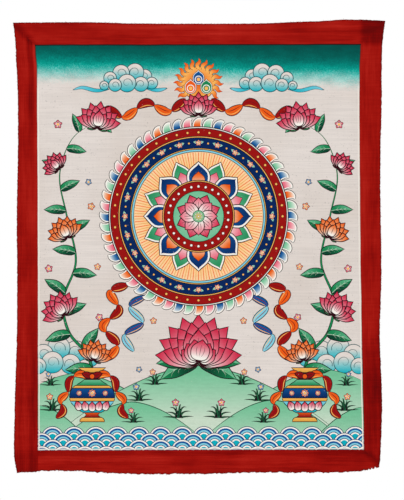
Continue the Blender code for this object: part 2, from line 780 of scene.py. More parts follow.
@dataclass
class AlongStem(Repeat):
    """Copies along a stem, which lean out from it on its left and right side by turns."""

    stem: Sequence[Place] = ()
    lean: float = 45
    last_size: float = 1

    TREE = "motifs along a stem"
    TAKES = {**Repeat.TAKES, "Stem": "NodeSocketObject", "Lean": 0.5, "Last size": 1}
    KNOT_STEP = 3

    def values(self) -> dict[str, Any]:
        """The tree's inputs by name.

        Returns:
            The inputs, with a new curve for the stem.
        """
        stem = curve_through("stem", with_third(smooth_line(self.stem, self.KNOT_STEP), 0), closed=False)
        lean = math.radians(self.lean)
        return {**super().values(), "Stem": stem, "Lean": lean, "Last size": self.last_size}

    def spots(self, bench: Bench, take: Any) -> tuple[Any, Any, Any]:
        """Lays the nodes that place the copies.

        Args:
            bench: the tree's bench.
            take: the tree's inputs.

        Returns:
            The points, and each copy's turn and scale.
        """
        stem = bench.lay("GeometryNodeObjectInfo", {"Object": take["Stem"]}).outputs["Geometry"]
        points = bench.lay("GeometryNodeCurveToPoints", {"Curve": stem, "Count": take["Count"]}).outputs
        index = bench.lay("GeometryNodeInputIndex").outputs[0]
        side = bench.scaled(bench.math("MODULO", index, 2), -2, 1)
        way = bench.lay("ShaderNodeSeparateXYZ", {0: points["Tangent"]}).outputs
        upright = bench.scaled(bench.math("ARCTAN2", way[1], way[0]), 1, -math.pi / 2)
        turn = bench.math("SUBTRACT", upright, bench.times(side, take["Lean"]))
        last = bench.math("SUBTRACT", take["Count"], 1)
        share = bench.math("DIVIDE", index, bench.math("MAXIMUM", last, 1))
        shrink = bench.scaled(share, bench.math("SUBTRACT", take["Last size"], take["Size"]), take["Size"])
        scale = bench.vector(bench.times(side, shrink), shrink, 1)
        return points["Points"], bench.vector(0, 0, turn), scale


# ----- What is drawn -----


@dataclass
class Petal(Motif):
    """A pointed petal that grows up from its foot.

    It may have a pale rim inside its line, and a smaller petal as its heart. The bend is how far its tip
    leans to the right, as a share of its length, and the foot is a share of its width.
    """

    length: float
    width: float
    tip: Pigment = Pigment.MAGENTA
    base: Pigment = Pigment.CHALK
    ink: Pigment = Pigment.SEPIA
    line: float = 1
    rim: Pigment | None = None
    heart: Pigment | None = None
    veins: int = 3
    bend: float = 0
    foot: float = 0.3
    steps: int = 5

    def bent(self, places: Array) -> Array:
        """Leans places of the upright petal over, more and more towards its tip."""
        up = places[:, 1] / self.length
        return places + np.stack([self.bend * self.length * up * np.abs(up), np.zeros_like(up)], axis=1)

    def fade(self, start: Pigment, end: Pigment, low: float, reach: float) -> Wash:
        """A wash up the petal, from a share of its length over another share of it."""
        return Wash(start, end, (0, low * self.length), (0, reach * self.length))

    def outline(self, share: float = 1, lift: float = 0) -> Array:
        """The petal's edge.

        Args:
            share: the scale, for a smaller petal inside this one.
            lift: how far up the smaller one stands.

        Returns:
            (n, 2) places.
        """
        half, tall = self.width / 2 * share, self.length * share
        belly = (half, 0.48 * tall)
        leave, arrive = (half * 0.95, 0.04 * tall), (half, 0.26 * tall)
        low = bezier((half * self.foot, 0), leave, arrive, belly, self.steps)
        high = bezier(belly, (half, 0.72 * tall), (half * 0.3, 0.86 * tall), (0, tall), self.steps)
        return self.bent(mirrored(np.vstack([low, high[1:]])) + (0, lift))

    def draw(self) -> None:
        """Draws the petal."""
        wash = self.fade(self.base, self.tip, 0.15, 0.8)
        self.inked(self.outline(), self.rim or wash, self.ink, self.line)
        if self.rim:
            self.fill(grown(self.outline(), -0.075 * self.width - self.line / 2), wash)
        if self.heart:
            inner = self.outline(0.56, 0.08 * self.length)
            self.inked(inner, self.fade(Pigment.CHALK, self.heart, 0.1, 0.45), self.ink, 0.6 * self.line)
        for k in range(self.veins):
            side = (k - (self.veins - 1) / 2) * self.width / (self.veins + 1)
            low, high = 0.16 * self.length, (0.74 - 0.02 * abs(side)) * self.length
            vein = bezier((side * 0.35, low), (side, 0.35 * self.length), (side, high), (side * 0.7, high), 5)
            self.stroke(self.bent(vein), 0.5 * self.line, self.ink)


@dataclass
class Floret(Motif):
    """A small flower seen from the front, with its reach from its middle to a petal's tip."""

    reach: float
    colour: Pigment
    petals: int = 5
    ink: Pigment = Pigment.SEPIA

    def draw(self) -> None:
        """Draws the petals and the eye."""
        size, line = (self.reach, 0.84 * self.reach), 0.12 * self.reach
        petal = Petal(*size, self.colour, Pigment.CHALK, self.ink, line, veins=0, steps=2)
        for k in range(self.petals):
            self.add(petal, turn=360 / self.petals * k)
        self.fill(disc((0, 0), 0.3 * self.reach, 8), Pigment.OCHRE)


@dataclass
class Blossom(Motif):
    """A lotus seen from its side, standing on its stalk at the origin.

    Each row of petals, from back to front, has their number, their spread to each side in degrees, and
    their length as a share of the reach.
    """

    reach: float
    tip: Pigment = Pigment.MAGENTA
    rows: tuple[tuple[int, float, float], ...] = ((7, 66, 1), (6, 54, 0.84), (5, 44, 0.62))

    SEPAL_TURNS = (-112, 112, -88, 88)
    # A petal longer than this has three veins, and a shorter one has one.
    VEINED_LENGTH = 16

    def draw(self) -> None:
        """Draws the sepals and then the petals, from the outer ones of each row to its middle."""
        sepal = Petal(0.42 * self.reach, 0.2 * self.reach, Pigment.LEAF, Pigment.MALACHITE, veins=1)
        for turn in self.SEPAL_TURNS:
            self.add(sepal, turn=turn)
        for count, spread, share in self.rows:
            width = 0.46 * self.reach * (0.75 + 0.25 * share)
            for turn in sorted(np.linspace(-spread, spread, count), key=lambda angle: -abs(angle)):
                length = share * self.reach * (1 - 0.08 * abs(turn) / spread)
                veins = 3 if length > self.VEINED_LENGTH else 1
                petal = Petal(length, width, self.tip, bend=0.16 * turn / spread, veins=veins)
                self.add(petal, turn=turn)


@dataclass
class Leaf(Motif):
    """A long leaf that grows up from its stalk, its tip bent to the right by a share of its length."""

    length: float
    width: float
    bend: float = 0.22

    def draw(self) -> None:
        """Draws the leaf with its shaded half, its midrib and its side veins."""
        petal = Petal(self.length, self.width, bend=self.bend, foot=0.15)
        outline = petal.outline()
        self.inked(outline, petal.fade(Pigment.LEAF, Pigment.MALACHITE, 0.2, 0.8), Pigment.INK, 1)
        rib = petal.bent(np.stack([np.zeros(7), np.linspace(0, 0.92, 7) * self.length], axis=1))
        shaded = np.vstack([outline[: 2 * petal.steps + 1], rib[::-1]])
        self.fill(grown(shaded, -0.5), petal.fade(Pigment.DEEP_GREEN, Pigment.LEAF, 0.3, 0.6))
        self.stroke(rib, 0.55, Pigment.PALE_MALACHITE, Taper.END)
        for share in (0.24, 0.42, 0.6):
            for side in (-1, 1):
                out = side * self.width * (0.36 - 0.2 * share)
                ends = ((0, share), (out * 0.5, share + 0.1), (out, share + 0.13))
                vein = np.array([(x, y * self.length) for x, y in ends])
                self.stroke(petal.bent(vein), 0.35, Pigment.PALE_MALACHITE, Taper.END)


@dataclass
class Cloud(Motif):
    """A bank of rolled clouds, pale above and blue below, with a curl in each roll, and its wisps."""

    rolls: tuple[Spot, ...]
    tails: tuple[tuple[Place, ...], ...] = ()

    SMALLEST_CURLED = 4

    def draw(self) -> None:
        """Draws the wisps and then the rolls."""
        for knots in self.tails:
            line = smooth_line(knots, 1.6)
            way = (knots[-1][0] - knots[0][0], knots[-1][1] - knots[0][1])
            self.stroke(line, 4.2, Pigment.TEAL_INK)
            self.stroke(line[1:-1], 3.2, Wash(Pigment.TURQUOISE, Pigment.SKY, knots[0], way))
        for x, y, radius in self.rolls:
            wash = Wash(Pigment.TURQUOISE, Pigment.CREAM, (x, y - radius), (0, 1.5 * radius), bias=0.85)
            self.inked(disc((x, y), radius, 14 + int(radius)), wash, Pigment.TEAL_INK, 0.8)
            if radius > self.SMALLEST_CURLED:
                self.stroke(self.curl(x, y, 0.62 * radius), 0.7, Pigment.TEAL_INK, Taper.END)

    @staticmethod
    def curl(x: float, y: float, radius: float) -> Array:
        """A spiral that winds inwards, clockwise on the right of the cloud and mirrored on its left.

        Args:
            x: where its middle is, across.
            y: where its middle is, up.
            radius: its radius at its outer end.

        Returns:
            (n, 2) places.
        """
        turn = np.radians(np.linspace(200, -190, 15))
        reach = radius * np.linspace(1, 0.22, 15)
        side = 1 if x >= 0 else -1
        return np.stack([x + side * reach * np.cos(turn), y + reach * np.sin(turn)], axis=1)


@dataclass
class Drop(Motif):
    """One jewel with a round foot, a pointed top and two shining bands."""

    tall: float
    colour: Pigment

    def draw(self) -> None:
        """Draws its chalk edge, its body and its bands."""
        half, tall = 0.4 * self.tall, self.tall
        low = bezier((0, 0), (half * 1.1, 0), (half * 1.25, 0.62 * tall), (half * 0.5, 0.8 * tall), 8)
        high = bezier(tuple(low[-1]), (half * 0.25, 0.87 * tall), (0.3, 0.9 * tall), (0, tall), 3)
        outline = mirrored(np.vstack([low, high[1:]]))
        self.inked(outline, Pigment.CHALK, line=0.6)
        self.fill(grown(outline, -0.95), self.colour)
        for share, band in ((0.62, Pigment.CHALK), (0.48, self.colour), (0.3, Pigment.OCHRE)):
            self.fill(disc((0, 0.36 * tall), half * share, 14), band)


class Flame(Motif):
    """One tongue of flame, which curls to the right."""

    def draw(self) -> None:
        """Draws its dark edge and its bright heart."""
        line = smooth_line(((0, 0), (-1.6, 4), (1.2, 8), (0.4, 12.5)), 1.3)
        press = np.sin(math.pi * (0.22 + 0.78 * np.linspace(0, 1, len(line))))
        self.fill(ribbon(line, 5.4 * press), Pigment.LAKE)
        wash = Wash(Pigment.OCHRE, Pigment.MINIUM, (0, 1), (0, 8))
        self.fill(ribbon(line[:-1], 4.2 * press[:-1]), wash)


@dataclass
class Jewels(Motif):
    """Three jewels in a ring of flames on a small lotus. Their size is the middle jewel's height."""

    size: float = 15

    # Each jewel's place as shares of the size, and its colour.
    DROPS = ((0, 0.62, Pigment.COBALT), (-0.46, 0.1, Pigment.MINIUM), (0.46, 0.1, Pigment.LEAF))

    def draw(self) -> None:
        """Draws the flames, the jewels and the lotus that they stand on."""
        middle = (0, 0.72 * self.size)
        glow = Wash(Pigment.MINIUM, Pigment.OCHRE, middle, (0, self.size), Run.OUTWARD)
        self.inked(disc(middle, 0.98 * self.size, 30), glow, Pigment.LAKE)
        self.add(Ring(15, 0.95, 0.86 * self.size, first=-126, span=252).lay(Flame()), at=middle)
        for x, y, colour in self.DROPS:
            self.add(Drop(self.size, colour), at=(x * self.size, y * self.size), size=0.9)
        self.add(Blossom(1.25 * self.size), at=(0, -1.02 * self.size))


@dataclass
class Tongue(Motif):
    """One curl of a fringe, with an ink line, a chalk edge and a coloured heart."""

    colour: Pigment

    def draw(self) -> None:
        """Draws its three coats."""
        line = smooth_line(((-1.4, -3), (-1.2, 3), (1.8, 7.4), (5.4, 8.6)), 1.6)
        press = 10.5 * np.cos(0.5 * math.pi * np.linspace(0, 1, len(line)) ** 1.4)
        self.fill(ribbon(line, press + 1.3), Pigment.INK)
        self.fill(ribbon(line, press - 0.2), Pigment.CHALK)
        heart = Wash(Pigment.CHALK, self.colour, (0, 9), (0, -8))
        self.fill(ribbon(line[:-2], press[:-2] - 2.6), heart)


class Spangle(Motif):
    """A small flower between two leaves."""

    def draw(self) -> None:
        """Draws the leaves and then the flower."""
        for turn in (-78, 78):
            leaf = Petal(6.2, 3.2, Pigment.MALACHITE, Pigment.CHALK, Pigment.LAPIS, 0.3, veins=0, steps=3)
            self.add(leaf, turn=turn)
        self.add(Floret(3.6, Pigment.MINIUM, ink=Pigment.LAPIS))


@dataclass
class Bead(Motif):
    """One bead of a ring, with a line round it."""

    radius: float
    colour: Pigment = Pigment.OCHRE

    def draw(self) -> None:
        """Draws the line's disc and the bead's own."""
        self.fill(disc((0, 0), self.radius, 9), Pigment.INK)
        self.fill(disc((0, 0), 0.74 * self.radius, 8), self.colour)


@dataclass
class Ray(Motif):
    """One fine ray, which is widest at its outer end."""

    length: float
    width: float
    colour: Pigment

    def draw(self) -> None:
        """Draws its one coat."""
        line = np.array([(0, 0), (0, 0.5 * self.length), (0, self.length)])
        self.fill(ribbon(line, np.array([0.3, 0.7, 1]) * self.width), self.colour)


@dataclass
class Roundel(Motif):
    """The great round lotus, in rings from a fringe of flame to the seed head."""

    radius: float = 108

    FIRE = (Pigment.MINIUM, Pigment.MALACHITE, Pigment.COBALT, Pigment.ROSE)
    TONGUES = 56

    def circle(self, radius: float, paint: Wash | Pigment, line: float = 0.7) -> None:
        """Lays one round coat with a dark line round it."""
        self.inked(disc((0, 0), radius, max(24, int(radius * 1.3))), paint, line=line)

    def ring(self, motif: Motif, count: int, radius: float, first: float = 0) -> None:
        """Lays a ring of copies of a motif."""
        self.add(Ring(count, radius=radius, first=first).lay(motif))

    def draw(self) -> None:
        """Draws the rings from the outside in."""
        edge = self.radius - 8.5
        for k, colour in enumerate(self.FIRE):
            turn = k * 360 / self.TONGUES
            self.ring(Tongue(colour), self.TONGUES // len(self.FIRE), edge + 0.5, turn)
        self.circle(edge, Pigment.CHALK, 1)
        self.circle(edge - 1.7, Pigment.CINNABAR, 0.8)
        self.ring(Bead(1.7), 48, edge - 6.2)
        self.circle(edge - 10.6, Pigment.OCHRE, 0.8)
        self.circle(edge - 12.2, Pigment.LAPIS, 0.8)
        self.ring(Spangle(), 24, edge - 18)
        self.ring(Bead(1.4), 24, edge - 18, 7.5)
        self.circle(edge - 23.8, Pigment.OCHRE, 0.8)
        self.circle(edge - 25.2, Pigment.SKY, 0.8)
        peach = edge - 27.6
        self.circle(peach, self.glow(Pigment.OCHRE, Pigment.PEACH, peach, 2.2))
        self.ring(Ray(peach - 25, 0.8, Pigment.MINIUM), 72, 24)
        self.ring(Ray(peach - 25, 0.6, Pigment.GOLD), 72, 24, 2.5)
        chalk = {"rim": Pigment.CHALK, "veins": 0}
        outer = Petal(34, 22, Pigment.LEAF, Pigment.MALACHITE, heart=Pigment.ROSE, **chalk)
        self.ring(outer, 8, 31, 22.5)
        inner = Petal(31, 26, Pigment.LAPIS, Pigment.COBALT, heart=Pigment.MINIUM, **chalk)
        self.ring(inner, 8, 30)
        self.circle(40, Pigment.OCHRE, 0.9)
        self.circle(38.4, Pigment.CINNABAR, 0.9)
        self.ring(Bead(1.8, Pigment.CHALK), 26, 33.2)
        self.circle(28.2, self.glow(Pigment.PALE_MALACHITE, Pigment.MALACHITE, 26))
        self.ring(Petal(21, 14, Pigment.MAGENTA, Pigment.BLUSH), 8, 4.5, 22.5)
        self.ring(Petal(17.5, 13, Pigment.ROSE), 8, 3.5)
        self.circle(6.6, self.glow(Pigment.OCHRE, Pigment.MALACHITE, 6), 0.6)
        self.ring(Bead(0.95, Pigment.CHALK), 7, 3.9)
        self.add(Bead(1.1, Pigment.CHALK))

    @staticmethod
    def glow(start: Pigment, end: Pigment, reach: float, bias: float = 1) -> Wash:
        """A wash outward from the roundel's middle."""
        return Wash(start, end, (0, 0), (0, reach), Run.OUTWARD, bias)


@dataclass(frozen=True)
class Hill:
    """One rounded hill: its crest, and how far it has fallen half its width to either side."""

    middle: float
    crest: float
    half_width: float
    fall: float = 46

    def top(self, x: Array) -> Array:
        """The height of the hill's line at places across the picture."""
        return self.crest - self.fall * (np.abs(x - self.middle) / self.half_width) ** 1.7


@dataclass
class Tuft(Motif):
    """A tuft of grass with one small flower on a stalk."""

    flower: Pigment

    # Each blade: how far out its tip is, and how high.
    BLADES = (
        *((-15, 1.6), (16, 1.2), (-12, 6.4), (12.6, 5.4)),
        *((-7.6, 10.4), (9, 9.8), (-2.4, 12.4), (4.4, 8)),
    )

    def draw(self) -> None:
        """Draws the blades, the stalk and the flower."""
        for x, tall in self.BLADES:
            line = bezier((x * 0.16, 0), (x * 0.12, tall * 0.8), (x * 0.5, tall * 1.2), (x, tall), 7)
            self.stroke(line, 2.7, Pigment.INK, Taper.END)
            self.stroke(line[:-2], 0.7, Pigment.LEAF, Taper.END)
        self.stroke(bezier((0, 0), (0.4, 5), (2.6, 9), (3, 14), 5), 1.1, Pigment.DEEP_GREEN)
        self.add(Floret(3.8, self.flower), at=(3, 15))


@dataclass
class Meadow(Motif):
    """Green hills across the foot of the picture, from back to front, with tufts of grass."""

    left: float
    right: float
    foot: float
    hills: tuple[Hill, ...]
    tufts: tuple[Spot, ...]

    STEP = 3
    FLOWERS = (Pigment.MINIUM, Pigment.MAGENTA, Pigment.COBALT)

    def draw(self) -> None:
        """Draws the hills, each over the one behind it, and then the tufts."""
        x = np.arange(self.left, self.right + self.STEP, self.STEP)
        for hill in self.hills:
            crest = np.stack([x, hill.top(x)], axis=1)[hill.top(x) > self.foot]
            foot = np.array([(crest[-1, 0], self.foot), (crest[0, 0], self.foot)])
            start, way = (0, hill.crest - 6), (0, -1.15 * hill.fall)
            self.fill(np.vstack([crest, foot]), Wash(Pigment.MALACHITE, Pigment.PALE_MALACHITE, start, way))
            self.stroke(crest, 0.9, Pigment.DEEP_GREEN)
        for k, (x, y, size) in enumerate(self.tufts):
            tuft = Tuft(self.FLOWERS[k % len(self.FLOWERS)])
            self.add(tuft, (x, y), size=size)
            self.add(tuft, (-x, y), size=size, flipped=True)


@dataclass
class Waves(Motif):
    """Rows of rounded waves along the lower edge, the first with its crests at the top."""

    top: float
    columns: int = 16
    pitch: float = 24
    rows: int = 4

    # Each ring of a wave: its share of the wave's radius, and its colour.
    RINGS = (
        *((1, Pigment.LAPIS), (0.94, Pigment.CHALK), (0.82, Pigment.COBALT), (0.66, Pigment.SKY)),
        *((0.52, Pigment.LAPIS), (0.46, Pigment.CHALK), (0.34, Pigment.TURQUOISE)),
    )

    def draw(self) -> None:
        """Draws the rows from the farthest to the nearest."""
        wave = Motif()
        radius = 0.53 * self.pitch
        for share, colour in self.RINGS:
            wave.fill(disc((0, -radius), share * radius, 26 if share > 0.5 else 18), colour)
        rows = Rows(self.columns * self.rows, 1, self.columns, self.pitch, 0.3 * self.pitch)
        self.add(rows.lay(wave), at=(-0.25 * self.pitch, self.top))


@dataclass
class Spray(Motif):
    """A lotus spray on the right: its stem from the root up, and each blossom's place, turn and reach."""

    stem: tuple[Place, ...]
    blossoms: tuple[tuple[Place, float, float], ...]
    leaf_count: int = 14

    def draw(self) -> None:
        """Draws the stem, its leaves and then its blossoms."""
        line = smooth_line(self.stem, 4)
        self.stroke(line, 3.8, Pigment.INK, Taper.END)
        self.stroke(line, 2.3, Pigment.LEAF, Taper.END)
        self.add(AlongStem(self.leaf_count, 1, self.stem, 62, 0.7).lay(Leaf(29, 12.5)))
        for k, (place, turn, reach) in enumerate(self.blossoms):
            tip = Pigment.MINIUM if k % 2 else Pigment.MAGENTA
            self.add(Blossom(reach, tip), at=place, turn=turn)


@dataclass
class Streamer(Motif):
    """A silk streamer that twists as it flutters, so that its outside and lining show by turns."""

    knots: tuple[Place, ...]
    width: float = 8
    twists: int = 4
    outside: Pigment = Pigment.CINNABAR
    lining: Pigment = Pigment.MINIUM

    def draw(self) -> None:
        """Draws each stretch between two twists, with a pale hem along one edge and a dark fold."""
        line = smooth_line(self.knots, 1.7)
        cuts = np.linspace(0, len(line) - 1, self.twists + 2).astype(int)
        for k, (first, last) in enumerate(zip(cuts[:-1], cuts[1:])):
            stretch = line[first : last + 1]
            press = 0.16 + 0.84 * np.sin(math.pi * np.linspace(0, 1, len(stretch))) ** 0.7
            self.fill(ribbon(stretch, self.width * press + 0.9), Pigment.INK)
            self.fill(ribbon(stretch, self.width * press - 0.8), self.lining if k % 2 else self.outside)
            for side, ink in ((0.3, Pigment.OCHRE), (-0.1, Pigment.LAKE)):
                fold = stretch + normals_of(stretch, closed=False) * (side * self.width * press)[:, None]
                self.stroke(fold[1:-1], 0.8, ink)


@dataclass
class Vase(Motif):
    """A round vase in coloured belts, with a scarf tied about its neck."""

    width: float = 50
    height: float = 60

    # The right side from foot to lip, as shares of half the width and of the height.
    PROFILE = (
        *((0.56, 0), (0.50, 0.06), (0.26, 0.13), (0.60, 0.22), (0.94, 0.36), (1, 0.5)),
        *((0.84, 0.64), (0.44, 0.75), (0.26, 0.84), (0.36, 0.92), (0.62, 1)),
    )
    # Each belt: where it begins and ends, as shares of the height, and its colours from its top down.
    BELTS = (
        (0, 0.08, Pigment.OCHRE, Pigment.GOLD),
        (0.08, 0.17, Pigment.MINIUM, Pigment.LAKE),
        (0.17, 0.38, Pigment.SKY, Pigment.TURQUOISE),
        (0.38, 0.44, Pigment.OCHRE, Pigment.GOLD),
        (0.44, 0.62, Pigment.COBALT, Pigment.LAPIS),
        (0.62, 0.67, Pigment.OCHRE, Pigment.GOLD),
        (0.67, 0.78, Pigment.MALACHITE, Pigment.LEAF),
        (0.78, 0.91, Pigment.CINNABAR, Pigment.LAKE),
        (0.91, 1, Pigment.OCHRE, Pigment.GOLD),
    )
    SCARF = (
        *((3, 49), (14, 53), (25, 46), (27, 33), (35, 24), (32, 12), (40, 4)),
    )
    # Where the scarf is tied, and where the florets stand, as shares of the height.
    NECK = 0.84
    FLORET_LEVEL = 0.53

    def draw(self) -> None:
        """Draws the belts from the foot up, what is painted on them, and the scarf."""
        side = smooth_line(self.PROFILE, 0.02) * np.array((self.width / 2, self.height))
        for first, last, upper, lower in self.BELTS:
            heights = np.linspace(first, last, 3 + int(25 * (last - first))) * self.height
            right = np.stack([np.interp(heights, side[:, 1], side[:, 0]), heights], axis=1)
            wash = Wash(upper, lower, (0, last * self.height), (0, (first - last) * self.height))
            self.inked(np.vstack([right, (right * (-1, 1))[::-1]]), wash, line=0.8)
        petal = Petal(11, 8, veins=1, steps=3)
        for k in (-2, 2, -1, 1, 0):
            self.add(petal, at=(6.6 * k, 0.19 * self.height + 0.8 * abs(k)), turn=12 * k)
        for x, reach in ((-14.5, 3.2), (14.5, 3.2), (0, 4.6)):
            floret = Floret(reach, Pigment.MINIUM, 8, Pigment.LAPIS)
            self.add(floret, at=(x, self.FLORET_LEVEL * self.height))
        for flipped in (False, True):
            self.add(Streamer(self.SCARF, 8.5, 3, Pigment.MINIUM, Pigment.CINNABAR), flipped=flipped)
        knot = (0, self.NECK * self.height)
        loop = Petal(12, 7, Pigment.CINNABAR, Pigment.LAKE, Pigment.INK, veins=1)
        for turn in (-74, 74):
            self.add(loop, at=knot, turn=turn)
        self.inked(disc(knot, 2.8, 12), Pigment.MINIUM)


@dataclass
class LotusPicture(Motif):
    """The whole picture, in the field inside the border. Its places are those on the right side."""

    left: float = -182
    right: float = 185
    foot: float = -476

    ROUNDEL_PLACE = (0, -214)
    BASE_LOTUS_PLACE = (0, -374)
    JEWELS_PLACE = (0, -80)
    VASE_PLACE = (118, -442)
    TOP_CLOUD_PLACE = (76, -64)
    SIDE_CLOUD_PLACE = (150, -376)

    HILLS = (
        *(Hill(-134, -388, 92), Hill(140, -384, 90), Hill(0, -380, 118)),
        *(Hill(-74, -420, 84), Hill(82, -418, 80)),
        *(Hill(-178, -424, 62), Hill(182, -426, 62)),
    )
    TUFTS = (
        *((48, -401, 0.95), (22, -438, 1.15), (66, -419, 1.05)),
        *((162, -430, 1.05), (72, -443, 0.9), (164, -402, 0.85)),
    )
    # Where small flowers drift over the bare ground, and their reach.
    DRIFTING = (
        *((156, -112, 5), (119, -203, 4.4), (122, -176, 3.8), (166, -272, 4.6)),
        *((112, -270, 4), (66, -384, 3.6), (110, -326, 4.4), (50, -330, 4)),
    )
    DRIFTING_COLOURS = (Pigment.MAGENTA, Pigment.MINIUM, Pigment.COBALT)
    TOP_ROLLS = (
        *((-15, 5, 7), (-5, 9, 9), (9, 8, 8.5), (20, 3, 6.5), (-22, -2, 6)),
        *((-11, -3, 7.5), (3, -2, 9), (15, -4, 6.5), (26, -4.5, 4.6)),
    )
    TOP_TAILS = (
        ((20, -8), (34, -9.5), (48, -6.5), (58, -9)),
        ((-16, -7.5), (-28, -9), (-38, -7)),
    )
    SIDE_ROLLS = (
        *((-30, 4, 9), (-14, 12, 12), (5, 16, 12.5), (22, 9, 11)),
        *((-24, -6, 9), (-8, -2, 11), (12, 0, 12), (28, -4, 9)),
    )
    UPPER_SILK = (
        *((14, -84), (34, -98), (58, -88), (82, -104), (104, -94), (122, -106)),
    )
    LOWER_SILK = (
        *((78, -290), (98, -298), (88, -318), (106, -336), (90, -356)),
        (102, -374),
    )
    BLUE_SILK = ((58, -302), (76, -314), (62, -332), (82, -346), (72, -364))
    STEM = (
        *((118, -384), (124, -366), (144, -342), (150, -306), (136, -264)),
        *((146, -214), (154, -168), (140, -128), (112, -108)),
    )
    # Each blossom's place on the stem, turn and reach.
    BLOSSOMS = (
        *(((150, -322), 34, 26), ((146, -236), 24, 23), ((112, -114), -8, 28)),
        *(((116, -372), -14, 22), ((156, -160), 42, 18)),
    )
    BASE_ROWS = ((9, 74, 1), (8, 66, 0.84), (7, 58, 0.66), (6, 50, 0.46))
    BASE_LEAF_TURNS = (-104, 104, -82, 82)

    def draw(self) -> None:
        """Draws the picture, from what lies farthest back to what lies nearest."""
        top_cloud, side_cloud = Cloud(self.TOP_ROLLS, self.TOP_TAILS), Cloud(self.SIDE_ROLLS)
        for side in (1, -1):
            self.add_at(top_cloud, side, self.TOP_CLOUD_PLACE, size=1.1)
            self.add_at(side_cloud, side, self.SIDE_CLOUD_PLACE)
        self.add(Meadow(self.left, self.right, self.foot, self.HILLS, self.TUFTS))
        self.add(Waves(top=-447))
        spread = (
            Streamer(self.UPPER_SILK, 10, 5),
            Streamer(self.LOWER_SILK, 10, 5),
            Streamer(self.BLUE_SILK, 8, 3, Pigment.COBALT, Pigment.SKY),
            Spray(self.STEM, self.BLOSSOMS),
        )
        vase = Vase()
        for side in (1, -1):
            for motif in spread:
                self.add_at(motif, side)
            self.add_at(vase, side, self.VASE_PLACE)
            for k, (x, y, reach) in enumerate(self.DRIFTING):
                colour = self.DRIFTING_COLOURS[k % len(self.DRIFTING_COLOURS)]
                self.add(Floret(reach, colour), at=(side * x, y), turn=20 * k)
        leaf = Leaf(46, 19)
        for turn in self.BASE_LEAF_TURNS:
            self.add(leaf, at=self.BASE_LOTUS_PLACE, turn=turn, flipped=turn < 0)
        self.add(Blossom(52, rows=self.BASE_ROWS), at=self.BASE_LOTUS_PLACE)
        self.add(Roundel(), at=self.ROUNDEL_PLACE)
        self.add(Jewels(19), at=self.JEWELS_PLACE)

    def add_at(self, motif: Motif, side: float, place: Place = (0, 0), size: float = 1) -> None:
        """Draws a motif at its place on the right side, or mirrored on the left, where side is -1."""
        self.add(motif, at=(side * place[0], place[1]), size=size, flipped=side < 0)


# ----- The cloth -----


class HangingForm:
    """Where the hanging sheet lies, read from the solid that it replaces.

    It holds the solid's lowest and highest corner, how much of each smooth surface there is in the
    sheet's depth, and the four cut edges, counterclockwise from the lower left corner.
    """

    DEPTH_ORDER = 12
    RIM_TILT = 0.5
    CORNERS = ((-1, -1), (1, -1), (1, 1), (-1, 1))

    def __init__(self, node: Object) -> None:
        """Reads the node's mesh.

        Args:
            node: the frame's canvas.
        """
        mesh = node.data
        points = read(mesh.vertices, "co", 3) / MM
        self.low, self.high = points.min(axis=0), points.max(axis=0)
        self.terms = np.linalg.lstsq(self.basis(points[:, [0, 2]]), points[:, 1], rcond=None)[0]
        rim = np.abs(read(mesh.polygons, "normal", 3)[:, 1]) < self.RIM_TILT
        corners = np.concatenate([list(face.vertices) for face, keep in zip(mesh.polygons, rim) if keep])
        edge = points[corners]
        edge = edge[edge[:, 1] < self.depth(edge[:, [0, 2]])][:, [0, 2]]
        self.sides = self.split(np.unique(edge.round(2), axis=0))

    def basis(self, places: Array) -> Array:
        """The smooth surfaces that the sheet's depth is a sum of.

        Args:
            places: (n, 2) where to read them.

        Returns:
            (n, terms) their heights.
        """
        span = self.high - self.low
        u = 2 * (places[:, 0] - self.low[0]) / span[0] - 1
        v = 2 * (places[:, 1] - self.low[2]) / span[2] - 1
        return np.polynomial.chebyshev.chebvander2d(u, v, (self.DEPTH_ORDER, self.DEPTH_ORDER))

    def depth(self, places: Array) -> Array:
        """How far back the middle of the sheet lies at some places."""
        return self.basis(places) @ self.terms

    def hung(self, places: Array, shift: float = 0) -> Array:
        """Places of the flat sheet in the scene, in metres, set back by a shift in millimetres."""
        return np.stack([places[:, 0], self.depth(places) + shift, places[:, 1]], axis=1) * MM

    def split(self, edge: Array) -> list[Array]:
        """Puts the edge's places in order and parts them at the four corners.

        Args:
            edge: (n, 2) the edge's places in any order.

        Returns:
            The four sides.
        """
        middle = (edge.min(axis=0) + edge.max(axis=0)) / 2
        away = edge - middle
        order = np.argsort(np.arctan2(away[:, 1], away[:, 0]))
        edge, away = edge[order], away[order]
        size = edge.max(axis=0) - edge.min(axis=0)
        at = [int(np.argmax(away @ (np.array(corner) / size))) for corner in self.CORNERS]
        turned = np.roll(edge, -at[0], axis=0)
        stops = [(k - at[0]) % len(edge) for k in at] + [len(edge)]
        closed = np.vstack([turned, turned[:1]])
        return [closed[first : last + 1] for first, last in zip(stops[:-1], stops[1:])]


class Side(Enum):
    """The four cut edges, in order round the sheet."""

    FOOT = "foot"
    RIGHT = "right"
    TOP = "top"
    LEFT = "left"


